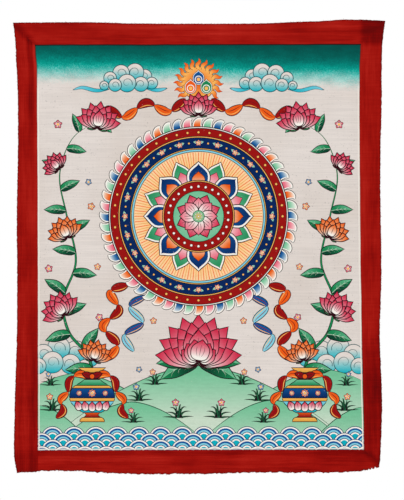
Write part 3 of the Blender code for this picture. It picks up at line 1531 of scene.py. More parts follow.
@dataclass
class CutEdge:
    """The cut edge of the cloth, with its small wanderings and its frayed corner."""

    form: HangingForm
    step: float = 0.75
    seed: int = 11

    RAGGEDNESS = {Side.FOOT: 0.8, Side.RIGHT: 0.32, Side.TOP: 0.2, Side.LEFT: 0.34}
    # How far from a corner the edge starts to wander.
    CORNER_REACH = 6
    # Each row: the length of a wandering in millimetres, and its share of a side's raggedness.
    WANDERINGS = ((11, 0.35), (3.6, 0.5), (1.5, 0.75))
    # Where the lower right corner is frayed away. Each row: how far the notch lies from the corner,
    # its half width and its depth.
    NOTCHES = ((4.4, 1.3, 1.5), (8.2, 1.2, 1.9), (11.6, 1.1, 1), (16.8, 1.3, 0.9))

    def outline(self) -> Array:
        """Draws the edge.

        Returns:
            The closed outline of the cloth, counterclockwise, without its last place.
        """
        chance = np.random.default_rng(self.seed)
        parts = []
        for side, knots in zip(Side, self.form.sides):
            line = smooth_line(knots, self.step)
            along = np.concatenate([[0], np.cumsum(np.hypot(*np.diff(line, axis=0).T))])
            to_end = along[-1] - along
            out = np.zeros(len(line))
            for length, share in self.WANDERINGS:
                knots_at = np.arange(0, along[-1] + 2 * length, length)
                out += np.interp(along, knots_at, chance.uniform(-1, 1, len(knots_at))) * share
            out *= self.RAGGEDNESS[side] * np.minimum(1, np.minimum(along, to_end) / self.CORNER_REACH)
            if side is Side.FOOT:
                for place, half_width, depth in self.NOTCHES:
                    out -= depth * np.maximum(0, 1 - np.abs(to_end - place) / half_width)
            parts.append((line + normals_of(line, closed=False) * out[:, None])[:-1])
        return np.vstack(parts)


def cut_up(points: Array, edges: list, faces: list) -> tuple[Array, Array, Array, list]:
    """Cuts a flat drawing into triangles.

    Args:
        points: (n, 2) places.
        edges: pairs of places to join.
        faces: closed shapes, counterclockwise, each a list of places.

    Returns:
        The corners, the triangles, the corner that each place became, and for each triangle the
        shapes that it lies in.
    """
    made = geometry.delaunay_2d_cdt([Vector(p) for p in points], edges, faces, 1, 1e-5, True)
    became = np.zeros(len(points), int)
    for corner, origins in enumerate(made[3]):
        became[origins] = corner
    return np.array([tuple(p) for p in made[0]]), np.array(made[2]), became, made[5]


@dataclass
class PictureMap:
    """The picture cut into triangles along all its painted edges that can be seen.

    It holds linear colour and cover at each triangle's corners, and the index of each place of its rim.
    """

    places: Array
    triangles: Array
    colours: Array
    rim: Array

    GRID = 7
    RIM_INSET = 2
    # How far a painted edge may move when it is drawn with fewer places.
    SLACK = 0.02
    THINNINGS = 4
    # A wash on a coat at least this wide gets a grid of its own.
    WIDE_COAT = 5
    FINEST_GRID = 1.6

    @classmethod
    def of(cls, outline: Array, coats: Sequence[Coat], grid: float = GRID) -> PictureMap:
        """Cuts the sheet along what shows of the outlines of all coats.

        Args:
            outline: the sheet's cut edge, counterclockwise.
            coats: the coats in the order in which they are laid.
            grid: the size of the plain sheet's triangles.

        Returns:
            The map.
        """
        shapes = [outline, grown(outline, -cls.RIM_INSET), *(cls.turned(coat.outline) for coat in coats)]
        corners, triangles, became, layers = cut_up(np.vstack(shapes), [], numbered(shapes))
        kept = [k for k, inside_of in enumerate(layers) if 0 in inside_of]
        triangles = triangles[kept]
        top = np.array([max(layers[k]) for k in kept])
        rim = became[: len(outline)]
        first_cut = BVHTree.FromPolygons(with_third(corners, 0).tolist(), triangles.tolist())
        edges = cls.thinned(corners, cls.seen_edges(triangles, cls.paints(coats)[top]), set(rim.tolist()))
        used = np.unique(np.concatenate([edges.ravel(), rim]))
        number = np.zeros(len(corners), int)
        number[used] = np.arange(len(used))
        loose = [cls.grid_inside(shapes[1], grid, cls.RIM_INSET)]
        pitches = [cls.wash_pitch(coat) for coat in coats]
        loose += [cls.grid_inside(coat.outline, pitch, 0) for coat, pitch in zip(coats, pitches) if pitch]
        places, triangles, became, _ = cut_up(np.vstack([corners[used], *loose]), number[edges].tolist(), [])
        middles = places[triangles].mean(axis=1)
        down = Vector((0, 0, -1))
        below = [first_cut.ray_cast(Vector((x, y, 1)), down)[2] for x, y in middles]
        top = np.array([-1 if k is None else top[k] for k in below])
        kept = (top >= 0) | inside(outline, middles)
        triangles, top = triangles[kept], top[kept]
        colours = np.zeros((len(triangles), 3, 4))
        for shape in np.unique(top[top > 1]):
            mine = top == shape
            found = coats[shape - 2].colours(places[triangles[mine].ravel()])
            colours[mine] = found.reshape(-1, 3, 4)
        return cls(places, triangles, colours, became[number[rim]])

    @staticmethod
    def turned(outline: Array) -> Array:
        """Turns an outline to run from its longest step, where it surely doesn't fold over.

        Args:
            outline: (n, 2) the outline.

        Returns:
            The same outline, counterclockwise.
        """
        forward = outline if signed_area(outline) > 0 else outline[::-1]
        steps = np.hypot(*(np.roll(forward, -1, axis=0) - forward).T)
        return np.roll(forward, -int(np.argmax(steps)), axis=0)

    @staticmethod
    def paints(coats: Sequence[Coat]) -> Array:
        """Numbers the shapes' paints, with one number for all flat coats of one colour.

        Args:
            coats: the coats, which are the shapes from the third on.

        Returns:
            A number for each shape.
        """
        known: dict[Any, int] = {}
        numbers = [0, 1]
        for place, coat in enumerate(coats):
            key = coat.wash if coat.wash.end is None else place
            numbers.append(known.setdefault(key, len(known) + 2))
        return np.array(numbers)

    @staticmethod
    def seen_edges(triangles: Array, paint: Array) -> Array:
        """Finds the edges between triangles of different paint, and those round the sheet.

        Args:
            triangles: (n, 3) the triangles.
            paint: (n,) the paint of each.

        Returns:
            (m, 2) the edges.
        """
        ends = np.sort(triangles[:, [0, 1, 1, 2, 2, 0]].reshape(-1, 2), axis=1)
        pairs, which, count = np.unique(ends, axis=0, return_inverse=True, return_counts=True)
        low = np.full(len(pairs), paint.max() + 1)
        high = np.full(len(pairs), -1)
        np.minimum.at(low, which.ravel(), np.repeat(paint, 3))
        np.maximum.at(high, which.ravel(), np.repeat(paint, 3))
        return pairs[(low != high) | (count == 1)]

    @classmethod
    def thinned(cls, corners: Array, edges: Array, held: set[int]) -> Array:
        """Leaves out the places that lie almost straight between their two neighbours.

        Args:
            corners: (n, 2) all places.
            edges: (m, 2) the lines between them.
            held: the places that stay.

        Returns:
            The lines between the places that are left.
        """
        beside: dict[int, set[int]] = {}
        for a, b in edges.tolist():
            beside.setdefault(a, set()).add(b)
            beside.setdefault(b, set()).add(a)
        for _ in range(cls.THINNINGS):
            resting: set[int] = set()
            for k in list(beside):
                if k in held or k in resting or len(beside[k]) != 2:
                    continue
                a, b = beside[k]
                (ax, ay), (bx, by), (x, y) = corners[a], corners[b], corners[k]
                span = math.hypot(bx - ax, by - ay)
                off = abs((bx - ax) * (y - ay) - (by - ay) * (x - ax))
                if b in beside[a] or off > cls.SLACK * span:
                    continue
                for end, other in ((a, b), (b, a)):
                    beside[end].remove(k)
                    beside[end].add(other)
                del beside[k]
                resting.update((a, b))
        return np.array([(a, b) for a, near in beside.items() for b in near if a < b])

    @classmethod
    def wash_pitch(cls, coat: Coat) -> float:
        """How fine a grid a coat's wash asks for, or 0 where it asks for none."""
        size = (coat.outline.max(axis=0) - coat.outline.min(axis=0)).min()
        return 0 if coat.wash.end is None or size < cls.WIDE_COAT else max(cls.FINEST_GRID, size / 9)

    @staticmethod
    def grid_inside(outline: Array, pitch: float, shift: float) -> Array:
        """Lays a triangular grid of places inside an outline.

        Args:
            outline: (n, 2) the outline.
            pitch: how far apart the places are.
            shift: how far in from the outline's left the grid starts.

        Returns:
            (m, 2) places.
        """
        low, high = outline.min(axis=0), outline.max(axis=0)
        rows = np.arange(low[1] + pitch / 2, high[1], pitch * 0.87)
        x = np.arange(low[0] + shift, high[0], pitch)
        places = [np.stack([x + (k % 2) * pitch / 2, np.full(len(x), y)], axis=1) for k, y in enumerate(rows)]
        places = np.vstack([np.zeros((0, 2)), *places])
        return places[inside(outline, places)]

    def soaked(self, places: Array, reach: float) -> Array:
        """What shows of the picture through the cloth: its colours, blurred.

        Args:
            places: (n, 2) where to look.
            reach: how far the colours blur.

        Returns:
            (n, 4) linear colour and cover.
        """
        corners = self.places[self.triangles]
        ab, ac = corners[:, 1] - corners[:, 0], corners[:, 2] - corners[:, 0]
        area = np.abs(ab[:, 0] * ac[:, 1] - ab[:, 1] * ac[:, 0]) / 2
        low = self.places.min(axis=0)
        cells = np.ceil((self.places.max(axis=0) - low) / reach).astype(int) + 1
        at = ((corners.mean(axis=1) - low) / reach).astype(int)
        value = self.colours.mean(axis=1)
        value = with_third(np.hstack([value[:, :3] * value[:, 3:], value[:, 3:]]), 1)
        total = np.zeros((cells[0], cells[1], 5))
        np.add.at(total, (at[:, 0], at[:, 1]), value * area[:, None])
        seen = ((places - low) / reach).astype(int).clip(0, cells - 1)
        found = total[seen[:, 0], seen[:, 1]]
        cover = found[:, 3:4] / np.maximum(found[:, 4:], 1e-9)
        return np.hstack([found[:, :3] / np.maximum(found[:, 3:4], 1e-9), cover])


# ----- The border's bands -----


@cache
def plain_weave() -> NodeTree:
    """The group that weaves uneven cotton threads over and under each other.

    Returns:
        The group's tree, which is built once.
    """
    takes = {"Place": "NodeSocketVector", "Pitch": 0.0009, "Unevenness": 0.5}
    gives = {"Height": "NodeSocketFloat", "Slubs": "NodeSocketFloat"}
    bench, take, give = new_group("plain weave", "ShaderNodeTree", takes, gives)
    at = bench.lay("ShaderNodeSeparateXYZ", {0: take["Place"]}).outputs
    wander = bench.noise(take["Place"], 55, 3)
    shift = bench.times(bench.scaled(wander, 12, -6), take["Unevenness"])
    beat = bench.math("DIVIDE", math.pi, take["Pitch"])
    warp = bench.math("SINE", bench.math("ADD", bench.times(at[0], beat), shift))
    weft = bench.math("SINE", bench.math("ADD", bench.times(at[2], beat), shift))
    over = bench.spread(bench.times(warp, weft), -0.25, 0.25)
    warp_height = bench.times(bench.math("ABSOLUTE", warp), over)
    weft_height = bench.times(bench.math("ABSOLUTE", weft), bench.scaled(over, -1, 1))
    level = bench.drawn_out(at, 22, 620, 0, 3)
    upright = bench.drawn_out(at, 560, 20, 3, 2)
    slubs = bench.scaled(level, 0.84, bench.scaled(upright, 0.16))
    bench.tree.links.new(bench.math("MAXIMUM", warp_height, weft_height), give.inputs["Height"])
    bench.tree.links.new(slubs, give.inputs["Slubs"])
    return bench.tree


@cache
def brushed_band() -> NodeTree:
    """The group that brushes a band of paint along one side of the field.

    Returns:
        The group's tree, which is built once.
    """
    takes = {"Into": 0, "Along": 0, "Seed": 0}
    gives = dict.fromkeys(("Into", "Streak", "Lip", "Gap"), "NodeSocketFloat")
    bench, take, give = new_group("brushed band", "ShaderNodeTree", takes, gives)
    along, seed = take["Along"], take["Seed"]
    slow, quick = (bench.noise(bench.vector(bench.scaled(along, scale), seed)) for scale in (24, 420))
    wobble = bench.scaled(slow, 0.0012, bench.scaled(quick, 0.0004, -0.0008))
    into = bench.math("ADD", take["Into"], wobble)

    def line(place: float) -> Socket:
        """A fine line along the band, at a place across it in metres."""
        return bench.spread(bench.math("ABSOLUTE", bench.scaled(into, 1, -place)), 0.0010, 0.00035)

    def streaks(across: float, down: float, shift: float) -> Socket:
        """Noise drawn out along the band, from -0.5 to 0.5, with its scales across and down the band."""
        where = (bench.scaled(into, across), bench.scaled(along, down), bench.scaled(seed, 1, shift))
        return bench.scaled(bench.noise(bench.vector(*where), 1, 3, 0.6), 1, -0.5)

    broad = bench.scaled(streaks(230, 7, 0), 0.45, 0.5)
    fine = bench.scaled(streaks(1150, 30, 5), 0.5, broad)
    blotch = bench.scaled(streaks(40, 16, 9), 0.75, fine)
    for label, value in (("Into", into), ("Streak", blotch), ("Lip", line(0.0)), ("Gap", line(-0.0011))):
        bench.tree.links.new(value, give.inputs[label])
    return bench.tree


# What a number is at a band's first end, in its middle and at its last end.
Course = tuple[float, float, float]


@dataclass(frozen=True)
class Strip:
    """A soft strip of paler paint along a band, or of darker where its lift is below zero."""

    inset: float
    reach: float
    lift: Course


@dataclass(frozen=True)
class Band:
    """Where one side of the red border lies.

    Its inner edge runs from first to last, down or to the right, bows up or to the right between its ends,
    and flares close to the first. The band lies above or to the right of it where outward is 1, and not
    where it is -1. The line is how black the line along that edge is.
    """

    first: float
    last: float
    outward: float
    upright: bool
    seed: float
    line: Course
    strips: tuple[Strip, ...]
    bow: float = 0
    flare: float = 0

    # Where the level bands and the upright ones start and stop.
    ACROSS = (-181, 184)
    DOWN = (-24, -474)

    def lay(self, bench: Bench, at: Any) -> dict[str, Any]:
        """Lays the band into a material.

        Args:
            bench: the material's bench.
            at: the outputs of the node that parts the place into x, y and z.

        Returns:
            How far into the band the place lies, its tone, and the lines on and beside its edge.
        """
        across, along = (at[0], at[2]) if self.upright else (at[2], at[0])
        start, stop = self.DOWN if self.upright else self.ACROSS
        share = bench.scaled(along, 1 / ((stop - start) * MM), -start / (stop - start))
        straight = bench.scaled(share, (self.last - self.first) * MM, self.first * MM)
        arch = bench.times(share, bench.math("SUBTRACT", 1, share))
        bowed = bench.scaled(arch, 4 * self.bow * MM, straight)
        edge = bench.math("ADD", bowed, bench.spread(share, 0.01, 0.06, self.flare * MM, 0))
        into = bench.times(bench.math("SUBTRACT", across, edge), self.outward)
        takes = {"Into": into, "Along": along, "Seed": self.seed}
        laid = bench.lay("ShaderNodeGroup", takes, node_tree=brushed_band()).outputs

        def course(numbers: Course, early: float) -> Socket:
            """A number that changes along the band, and reaches its middle value at an early share."""
            opening = bench.spread(share, 0.02, early, numbers[0], numbers[1])
            return bench.math("ADD", opening, bench.spread(share, 0.55, 0.92, 0, numbers[2] - numbers[1]))

        streak = laid["Streak"]
        for strip in self.strips:
            away = bench.math("ABSOLUTE", bench.scaled(laid["Into"], 1, -strip.inset * MM))
            soft = bench.spread(away, strip.reach * MM, 0.3 * strip.reach * MM)
            streak = bench.scaled(soft, course(strip.lift, 0.4), streak)
        lip = bench.times(laid["Lip"], course(self.line, 0.12))
        return {"Into": laid["Into"], "Streak": streak, "Lip": lip, "Gap": laid["Gap"]}


LEFT_STRIPS = (
    Strip(1.8, 2.4, (0.18, 0, 0)),
    Strip(6.5, 5, (-0.22, 0, -0.05)),
    Strip(1, 12, (0, 0.05, -0.2)),
)
RIGHT_STRIPS = (
    Strip(5, 9, (0.07, 0.09, 0.05)),
    Strip(12, 60, (0, 0, -0.24)),
)
TOP_STRIPS = (
    Strip(21, 6, (0, 0.2, 0.02)),
    Strip(12.5, 4, (0, 0.12, 0)),
    Strip(16, 5, (0, 0, -0.08)),
)
FOOT_STRIPS = (
    Strip(2, 6, (-0.12, -0.1, -0.12)),
    Strip(9.5, 4.5, (0.12, 0.12, 0.04)),
    Strip(12, 60, (0, -0.02, -0.12)),
)
BANDS = {
    Side.LEFT: Band(-179.6, -178.3, -1, True, 3, (0.7, 0.05, 0.3), LEFT_STRIPS, bow=0.7, flare=-1.4),
    Side.RIGHT: Band(178.7, 184, 1, True, 7, (0.55, 0.12, 0.4), RIGHT_STRIPS, bow=-1.6, flare=1.2),
    Side.TOP: Band(-24, -23.3, 1, False, 12, (0.95, 0.95, 0.95), TOP_STRIPS),
    Side.FOOT: Band(-473.9, -473.2, -1, False, 19, (0.2, 0.25, 0.3), FOOT_STRIPS, bow=0.35),
}


# ----- Finishes -----


def new_material(name: str) -> tuple[Material, Bench, Node]:
    """Makes a material with a plain glossy shader.

    Args:
        name: the material's name.

    Returns:
        The material, its bench and its shader node.
    """
    material = bpy.data.materials.new(name)
    material.use_nodes = True
    bench = Bench(material.node_tree)
    shader = bench.lay("ShaderNodeBsdfPrincipled")
    bench.lay("ShaderNodeOutputMaterial", {"Surface": shader.outputs[0]})
    return material, bench, shader


@dataclass(frozen=True)
class Finish:
    """A finish of the cloth, made as one material that is built once.

    The pitch is that of the threads, and the relief is how far threads and paint stand out.
    """

    name: str = "cotton"
    pitch: float = 0.9
    relief: float = 0.10
    gloss: float = 0.3

    def place(self, bench: Bench) -> tuple[Any, Any]:
        """The place on the cloth, whole and parted into x, y and z."""
        place = bench.lay("ShaderNodeTexCoord").outputs["Object"]
        return place, bench.lay("ShaderNodeSeparateXYZ", {0: place}).outputs

    def weave(self, bench: Bench, place: Any) -> Any:
        """The outputs of the weave's group."""
        inputs = {"Place": place, "Pitch": self.pitch * MM}
        return bench.lay("ShaderNodeGroup", inputs, node_tree=plain_weave()).outputs

    def finish(self, bench: Bench, shader: Node, colour: Any, roughness: Any, height: Any) -> None:
        """Links what the shader takes.

        Args:
            bench: the material's bench.
            shader: the shader's node.
            colour: the base colour.
            roughness: the roughness.
            height: the height that the bump is read from, from 0 to about 1.
        """
        bump = bench.lay("ShaderNodeBump", {"Strength": 1, "Distance": self.relief * MM, "Height": height})
        shader.inputs["Specular IOR Level"].default_value = self.gloss
        for name, socket in (("Base Color", colour), ("Roughness", roughness), ("Normal", bump.outputs[0])):
            bench.set(shader.inputs[name], socket)

    def dress(self, bench: Bench, shader: Node) -> None:
        """Lays the finish's own nodes."""
        raise NotImplementedError

    @classmethod
    @cache
    def material(cls) -> Material:
        """Makes the finish's material.

        Returns:
            The material, which is made once.
        """
        finish = cls()
        material, bench, shader = new_material(finish.name)
        finish.dress(bench, shader)
        return material


@dataclass(frozen=True)
class Corners:
    """A number for each corner of the border."""

    top_left: float = 0
    top_right: float = 0
    foot_left: float = 0
    foot_right: float = 0


@dataclass(frozen=True)
class PaintedFace(Finish):
    """The painted side: primed ground, the wash of sky, the picture and the red border."""

    name: str = "painted_face"
    gloss: float = 0.05

    # Where the upright band lies over the level one, and how much darker the corners are, all over
    # and along the line where the brush turned.
    LAPPED = Corners(foot_left=1)
    COATS = Corners(0, 0.36, 0.2, 0)
    SEAM_COATS = Corners(0.3, 0.04, 0, 0.24)
    # Halfway down the sheet, in metres.
    HALFWAY = -0.25

    GROUND = rgba(224, 215, 209)
    GROUND_SHADE = rgba(216, 205, 197)
    CHALK_LINE = rgba(240, 232, 220)
    LINE_INK = rgba(20, 20, 20)
    # How far down the wash of sky runs, in metres, how much less deep it gets for each metre to the
    # right, and its stops along that way.
    SKY_DEPTH = 0.056
    SKY_FALL = -0.022
    SKY_STOPS = (
        (0, rgba(2, 78, 72)),
        (0.20, rgba(1, 97, 89)),
        (0.32, rgba(1, 122, 112)),
        (0.42, rgba(2, 150, 136)),
        (0.47, rgba(34, 168, 156)),
        (0.55, rgba(104, 190, 181)),
        (0.64, rgba(158, 203, 196)),
        (0.73, rgba(200, 211, 205)),
        (0.84, rgba(224, 217, 211)),
    )
    RED_STOPS = (
        (0, rgba(100, 0, 0)),
        (0.25, rgba(128, 2, 0)),
        (0.5, rgba(154, 13, 5)),
        (0.75, rgba(172, 28, 18)),
        (1, rgba(188, 46, 36)),
    )

    def ground(self, bench: Bench, place: Any, at: Any, slubs: Any) -> Socket:
        """Lays the primed cloth and the wash of sky at its top.

        Args:
            bench: the material's bench.
            place: the place on the cloth.
            at: the place's x, y and z.
            slubs: the uneven threads of the cloth.

        Returns:
            The colour.
        """
        blotch = bench.noise(place, 9, 4)
        cream = bench.blend(bench.spread(blotch, 0.35, 0.68), self.GROUND, self.GROUND_SHADE)
        speck = bench.spread(bench.noise(place, 700, 1), 0.68, 0.76)
        cream = bench.blend(bench.scaled(speck, 0.3), cream, self.LINE_INK)
        cream = bench.dimmed(cream, bench.spread(slubs, 0.34, 0.66, 0.945, 1.035))
        depth = bench.scaled(at[2], -1, BANDS[Side.TOP].first * MM)
        tilt = bench.scaled(at[0], self.SKY_FALL, depth)
        stipple = bench.scaled(bench.noise(place, 820, 3, 0.8), 0.022, -0.011)
        drift = bench.scaled(bench.noise(place, 26, 3), 0.009, -0.0045)
        down = bench.math("ADD", tilt, bench.math("ADD", stipple, drift))
        share = bench.math("DIVIDE", down, self.SKY_DEPTH, clamp=True)
        patches = bench.drawn_out(at, 60, 160, 5, 4)
        sky = bench.dimmed(bench.tones(share, self.SKY_STOPS), bench.spread(patches, 0.25, 0.75, 0.86, 1.12))
        return bench.blend(bench.spread(share, 0.9, 0.7), cream, sky)

    def dress(self, bench: Bench, shader: Node) -> None:
        """Lays the ground, the picture and the border over each other.

        Args:
            bench: the material's bench.
            shader: the shader's node.
        """
        place, at = self.place(bench)
        weave = self.weave(bench, place)
        colour = self.ground(bench, place, at, weave["Slubs"])
        paint = bench.lay("ShaderNodeAttribute", attribute_name=PaintedCanvas.PAINT).outputs
        grain = bench.noise(place, 900, 3, 0.7)
        brush = bench.drawn_out(at, 130, 330, 0, 3)
        stroke = bench.scaled(grain, 0.10, bench.scaled(brush, 0.18, 0.86))
        stroke = bench.times(stroke, bench.spread(weave["Slubs"], 0.3, 0.7, 0.97, 1.02))
        skips = bench.spread(bench.noise(place, 520), 0.71, 0.77, 1, 0.55)
        colour = bench.blend(bench.times(paint["Alpha"], skips), colour, bench.dimmed(paint["Color"], stroke))
        colour, red = self.border(bench, at, weave["Slubs"], colour)
        rim = bench.lay("ShaderNodeAttribute", attribute_name=PaintedCanvas.RIM).outputs["Fac"]
        colour = bench.dimmed(colour, bench.scaled(rim, -0.55, 1))
        painted = bench.math("MAXIMUM", paint["Alpha"], red)
        roughness = bench.scaled(painted, -0.12, bench.scaled(grain, 0.16, 0.74))
        threads = bench.times(weave["Height"], bench.scaled(painted, -0.45, 1))
        height = bench.scaled(brush, 0.5, bench.scaled(weave["Slubs"], 0.7, threads))
        self.finish(bench, shader, colour, roughness, height)

    def by_corner(self, bench: Bench, right: Any, low: Any, numbers: Corners) -> Socket:
        """Lays a number for each quarter of the sheet.

        Args:
            bench: the material's bench.
            right: 1 on the right half.
            low: 1 on the lower half.
            numbers: the four numbers.

        Returns:
            The number.
        """
        upper = bench.scaled(right, numbers.top_right - numbers.top_left, numbers.top_left)
        lower = bench.scaled(right, numbers.foot_right - numbers.foot_left, numbers.foot_left)
        above = bench.times(upper, bench.scaled(low, -1, 1))
        return bench.scaled(lower, low, above)

    def border(self, bench: Bench, at: Any, slubs: Any, colour: Any) -> tuple[Socket, Socket]:
        """Lays the four brushed bands, which turn round three corners and lap at the fourth.

        Args:
            bench: the material's bench.
            at: the place's x, y and z.
            slubs: the uneven threads of the cloth.
            colour: the colour below the border.

        Returns:
            The colour with the border on it, and how much of the cloth the border covers.
        """
        left, right, top, foot = (band.lay(bench, at) for band in BANDS.values())
        for band in (left, right, foot):
            gap = bench.times(band["Gap"], bench.spread(at[2], -0.060, -0.078, 0, 0.85))
            colour = bench.blend(gap, colour, self.CHALK_LINE)
        upright = bench.math("MAXIMUM", left["Into"], right["Into"])
        level = bench.math("MAXIMUM", top["Into"], foot["Into"])
        on_right = bench.math("GREATER_THAN", at[0], 0)
        on_foot = bench.math("LESS_THAN", at[2], self.HALFWAY)
        upright_streak = bench.pick(on_right, left["Streak"], right["Streak"])
        level_streak = bench.pick(on_foot, top["Streak"], foot["Streak"])
        lapped, coats, seam_coats = (
            self.by_corner(bench, on_right, on_foot, numbers)
            for numbers in (self.LAPPED, self.COATS, self.SEAM_COATS)
        )
        turned = bench.math("SUBTRACT", upright, level)
        mitre, lap = bench.spread(turned, -0.0016, 0.0016), bench.spread(upright, -0.0003, 0.0003)
        streak = bench.pick(bench.pick(lapped, mitre, lap), level_streak, upright_streak)
        both = bench.times(bench.spread(upright, -0.003, 0.005), bench.spread(level, -0.005, 0.005))
        seam = bench.spread(bench.math("ABSOLUTE", turned), 0.010, 0)
        darker = bench.times(both, bench.scaled(seam, seam_coats, coats))
        threads = bench.scaled(slubs, 0.4, -0.2)
        tone = bench.math("SUBTRACT", bench.math("ADD", streak, threads), darker, clamp=True)
        cover = bench.spread(bench.math("MAXIMUM", upright, level), -0.00018, 0.00018)
        colour = bench.blend(cover, colour, bench.tones(tone, self.RED_STOPS))
        beside_field = bench.spread(upright, 0.0012, 0.0002)
        below_top = bench.spread(level, 0.0012, 0.0002)
        for band, mask in ((top, beside_field), (foot, beside_field), (left, below_top), (right, below_top)):
            colour = bench.blend(bench.times(band["Lip"], mask), colour, self.LINE_INK)
        return colour, cover


@dataclass(frozen=True)
class CottonBack(Finish):
    """The bare back of the cloth, where the paint shows through faintly."""

    name: str = "cotton_back"
    relief: float = 0.16
    gloss: float = 0.2

    COTTON = rgba(226, 216, 198)
    COTTON_SHADE = rgba(208, 195, 172)
    RED_SHOWING = rgba(170, 92, 76)

    def dress(self, bench: Bench, shader: Node) -> None:
        """Lays the cotton, its stains and what shows through it.

        Args:
            bench: the material's bench.
            shader: the shader's node.
        """
        place, at = self.place(bench)
        weave = self.weave(bench, place)
        stain = bench.spread(bench.noise(place, 7, 5, 0.6), 0.4, 0.72)
        colour = bench.blend(stain, self.COTTON, self.COTTON_SHADE)
        through = bench.lay("ShaderNodeAttribute", attribute_name=PaintedCanvas.PAINT).outputs
        patchy = bench.spread(bench.noise(place, 60, 4), 0.3, 0.75, 0.10, 0.24)
        colour = bench.blend(bench.times(through["Alpha"], patchy), colour, through["Color"])
        left, right, top, foot = (band.lay(bench, at)["Into"] for band in BANDS.values())
        depth = bench.math("MAXIMUM", bench.math("MAXIMUM", left, right), bench.math("MAXIMUM", top, foot))
        border = bench.spread(depth, -0.0006, 0.0006)
        colour = bench.blend(bench.times(border, patchy), colour, self.RED_SHOWING)
        colour = bench.dimmed(colour, bench.spread(weave["Slubs"], 0.3, 0.7, 0.90, 1.05))
        roughness = bench.scaled(weave["Slubs"], 0.2, 0.78)
        height = bench.scaled(weave["Slubs"], 0.8, weave["Height"])
        self.finish(bench, shader, colour, roughness, height)


@dataclass(frozen=True)
class CutCotton(Finish):
    """The cut edge and its loose threads: cotton with red paint soaked into it."""

    name: str = "cut_cotton"
    relief: float = 0.12
    gloss: float = 0.2

    RED = rgba(156, 26, 16)
    BARE = rgba(232, 178, 146)

    def dress(self, bench: Bench, shader: Node) -> None:
        """Lays the paint in patches over the bare fibre.

        Args:
            bench: the material's bench.
            shader: the shader's node.
        """
        place, _ = self.place(bench)
        patch = bench.noise(place, 240, 3, 0.6)
        colour = bench.blend(bench.spread(patch, 0.48, 0.64), self.RED, self.BARE)
        fibre = bench.noise(place, 3800)
        self.finish(bench, shader, colour, bench.scaled(fibre, 0.2, 0.75), fibre)


# ----- The pieces -----


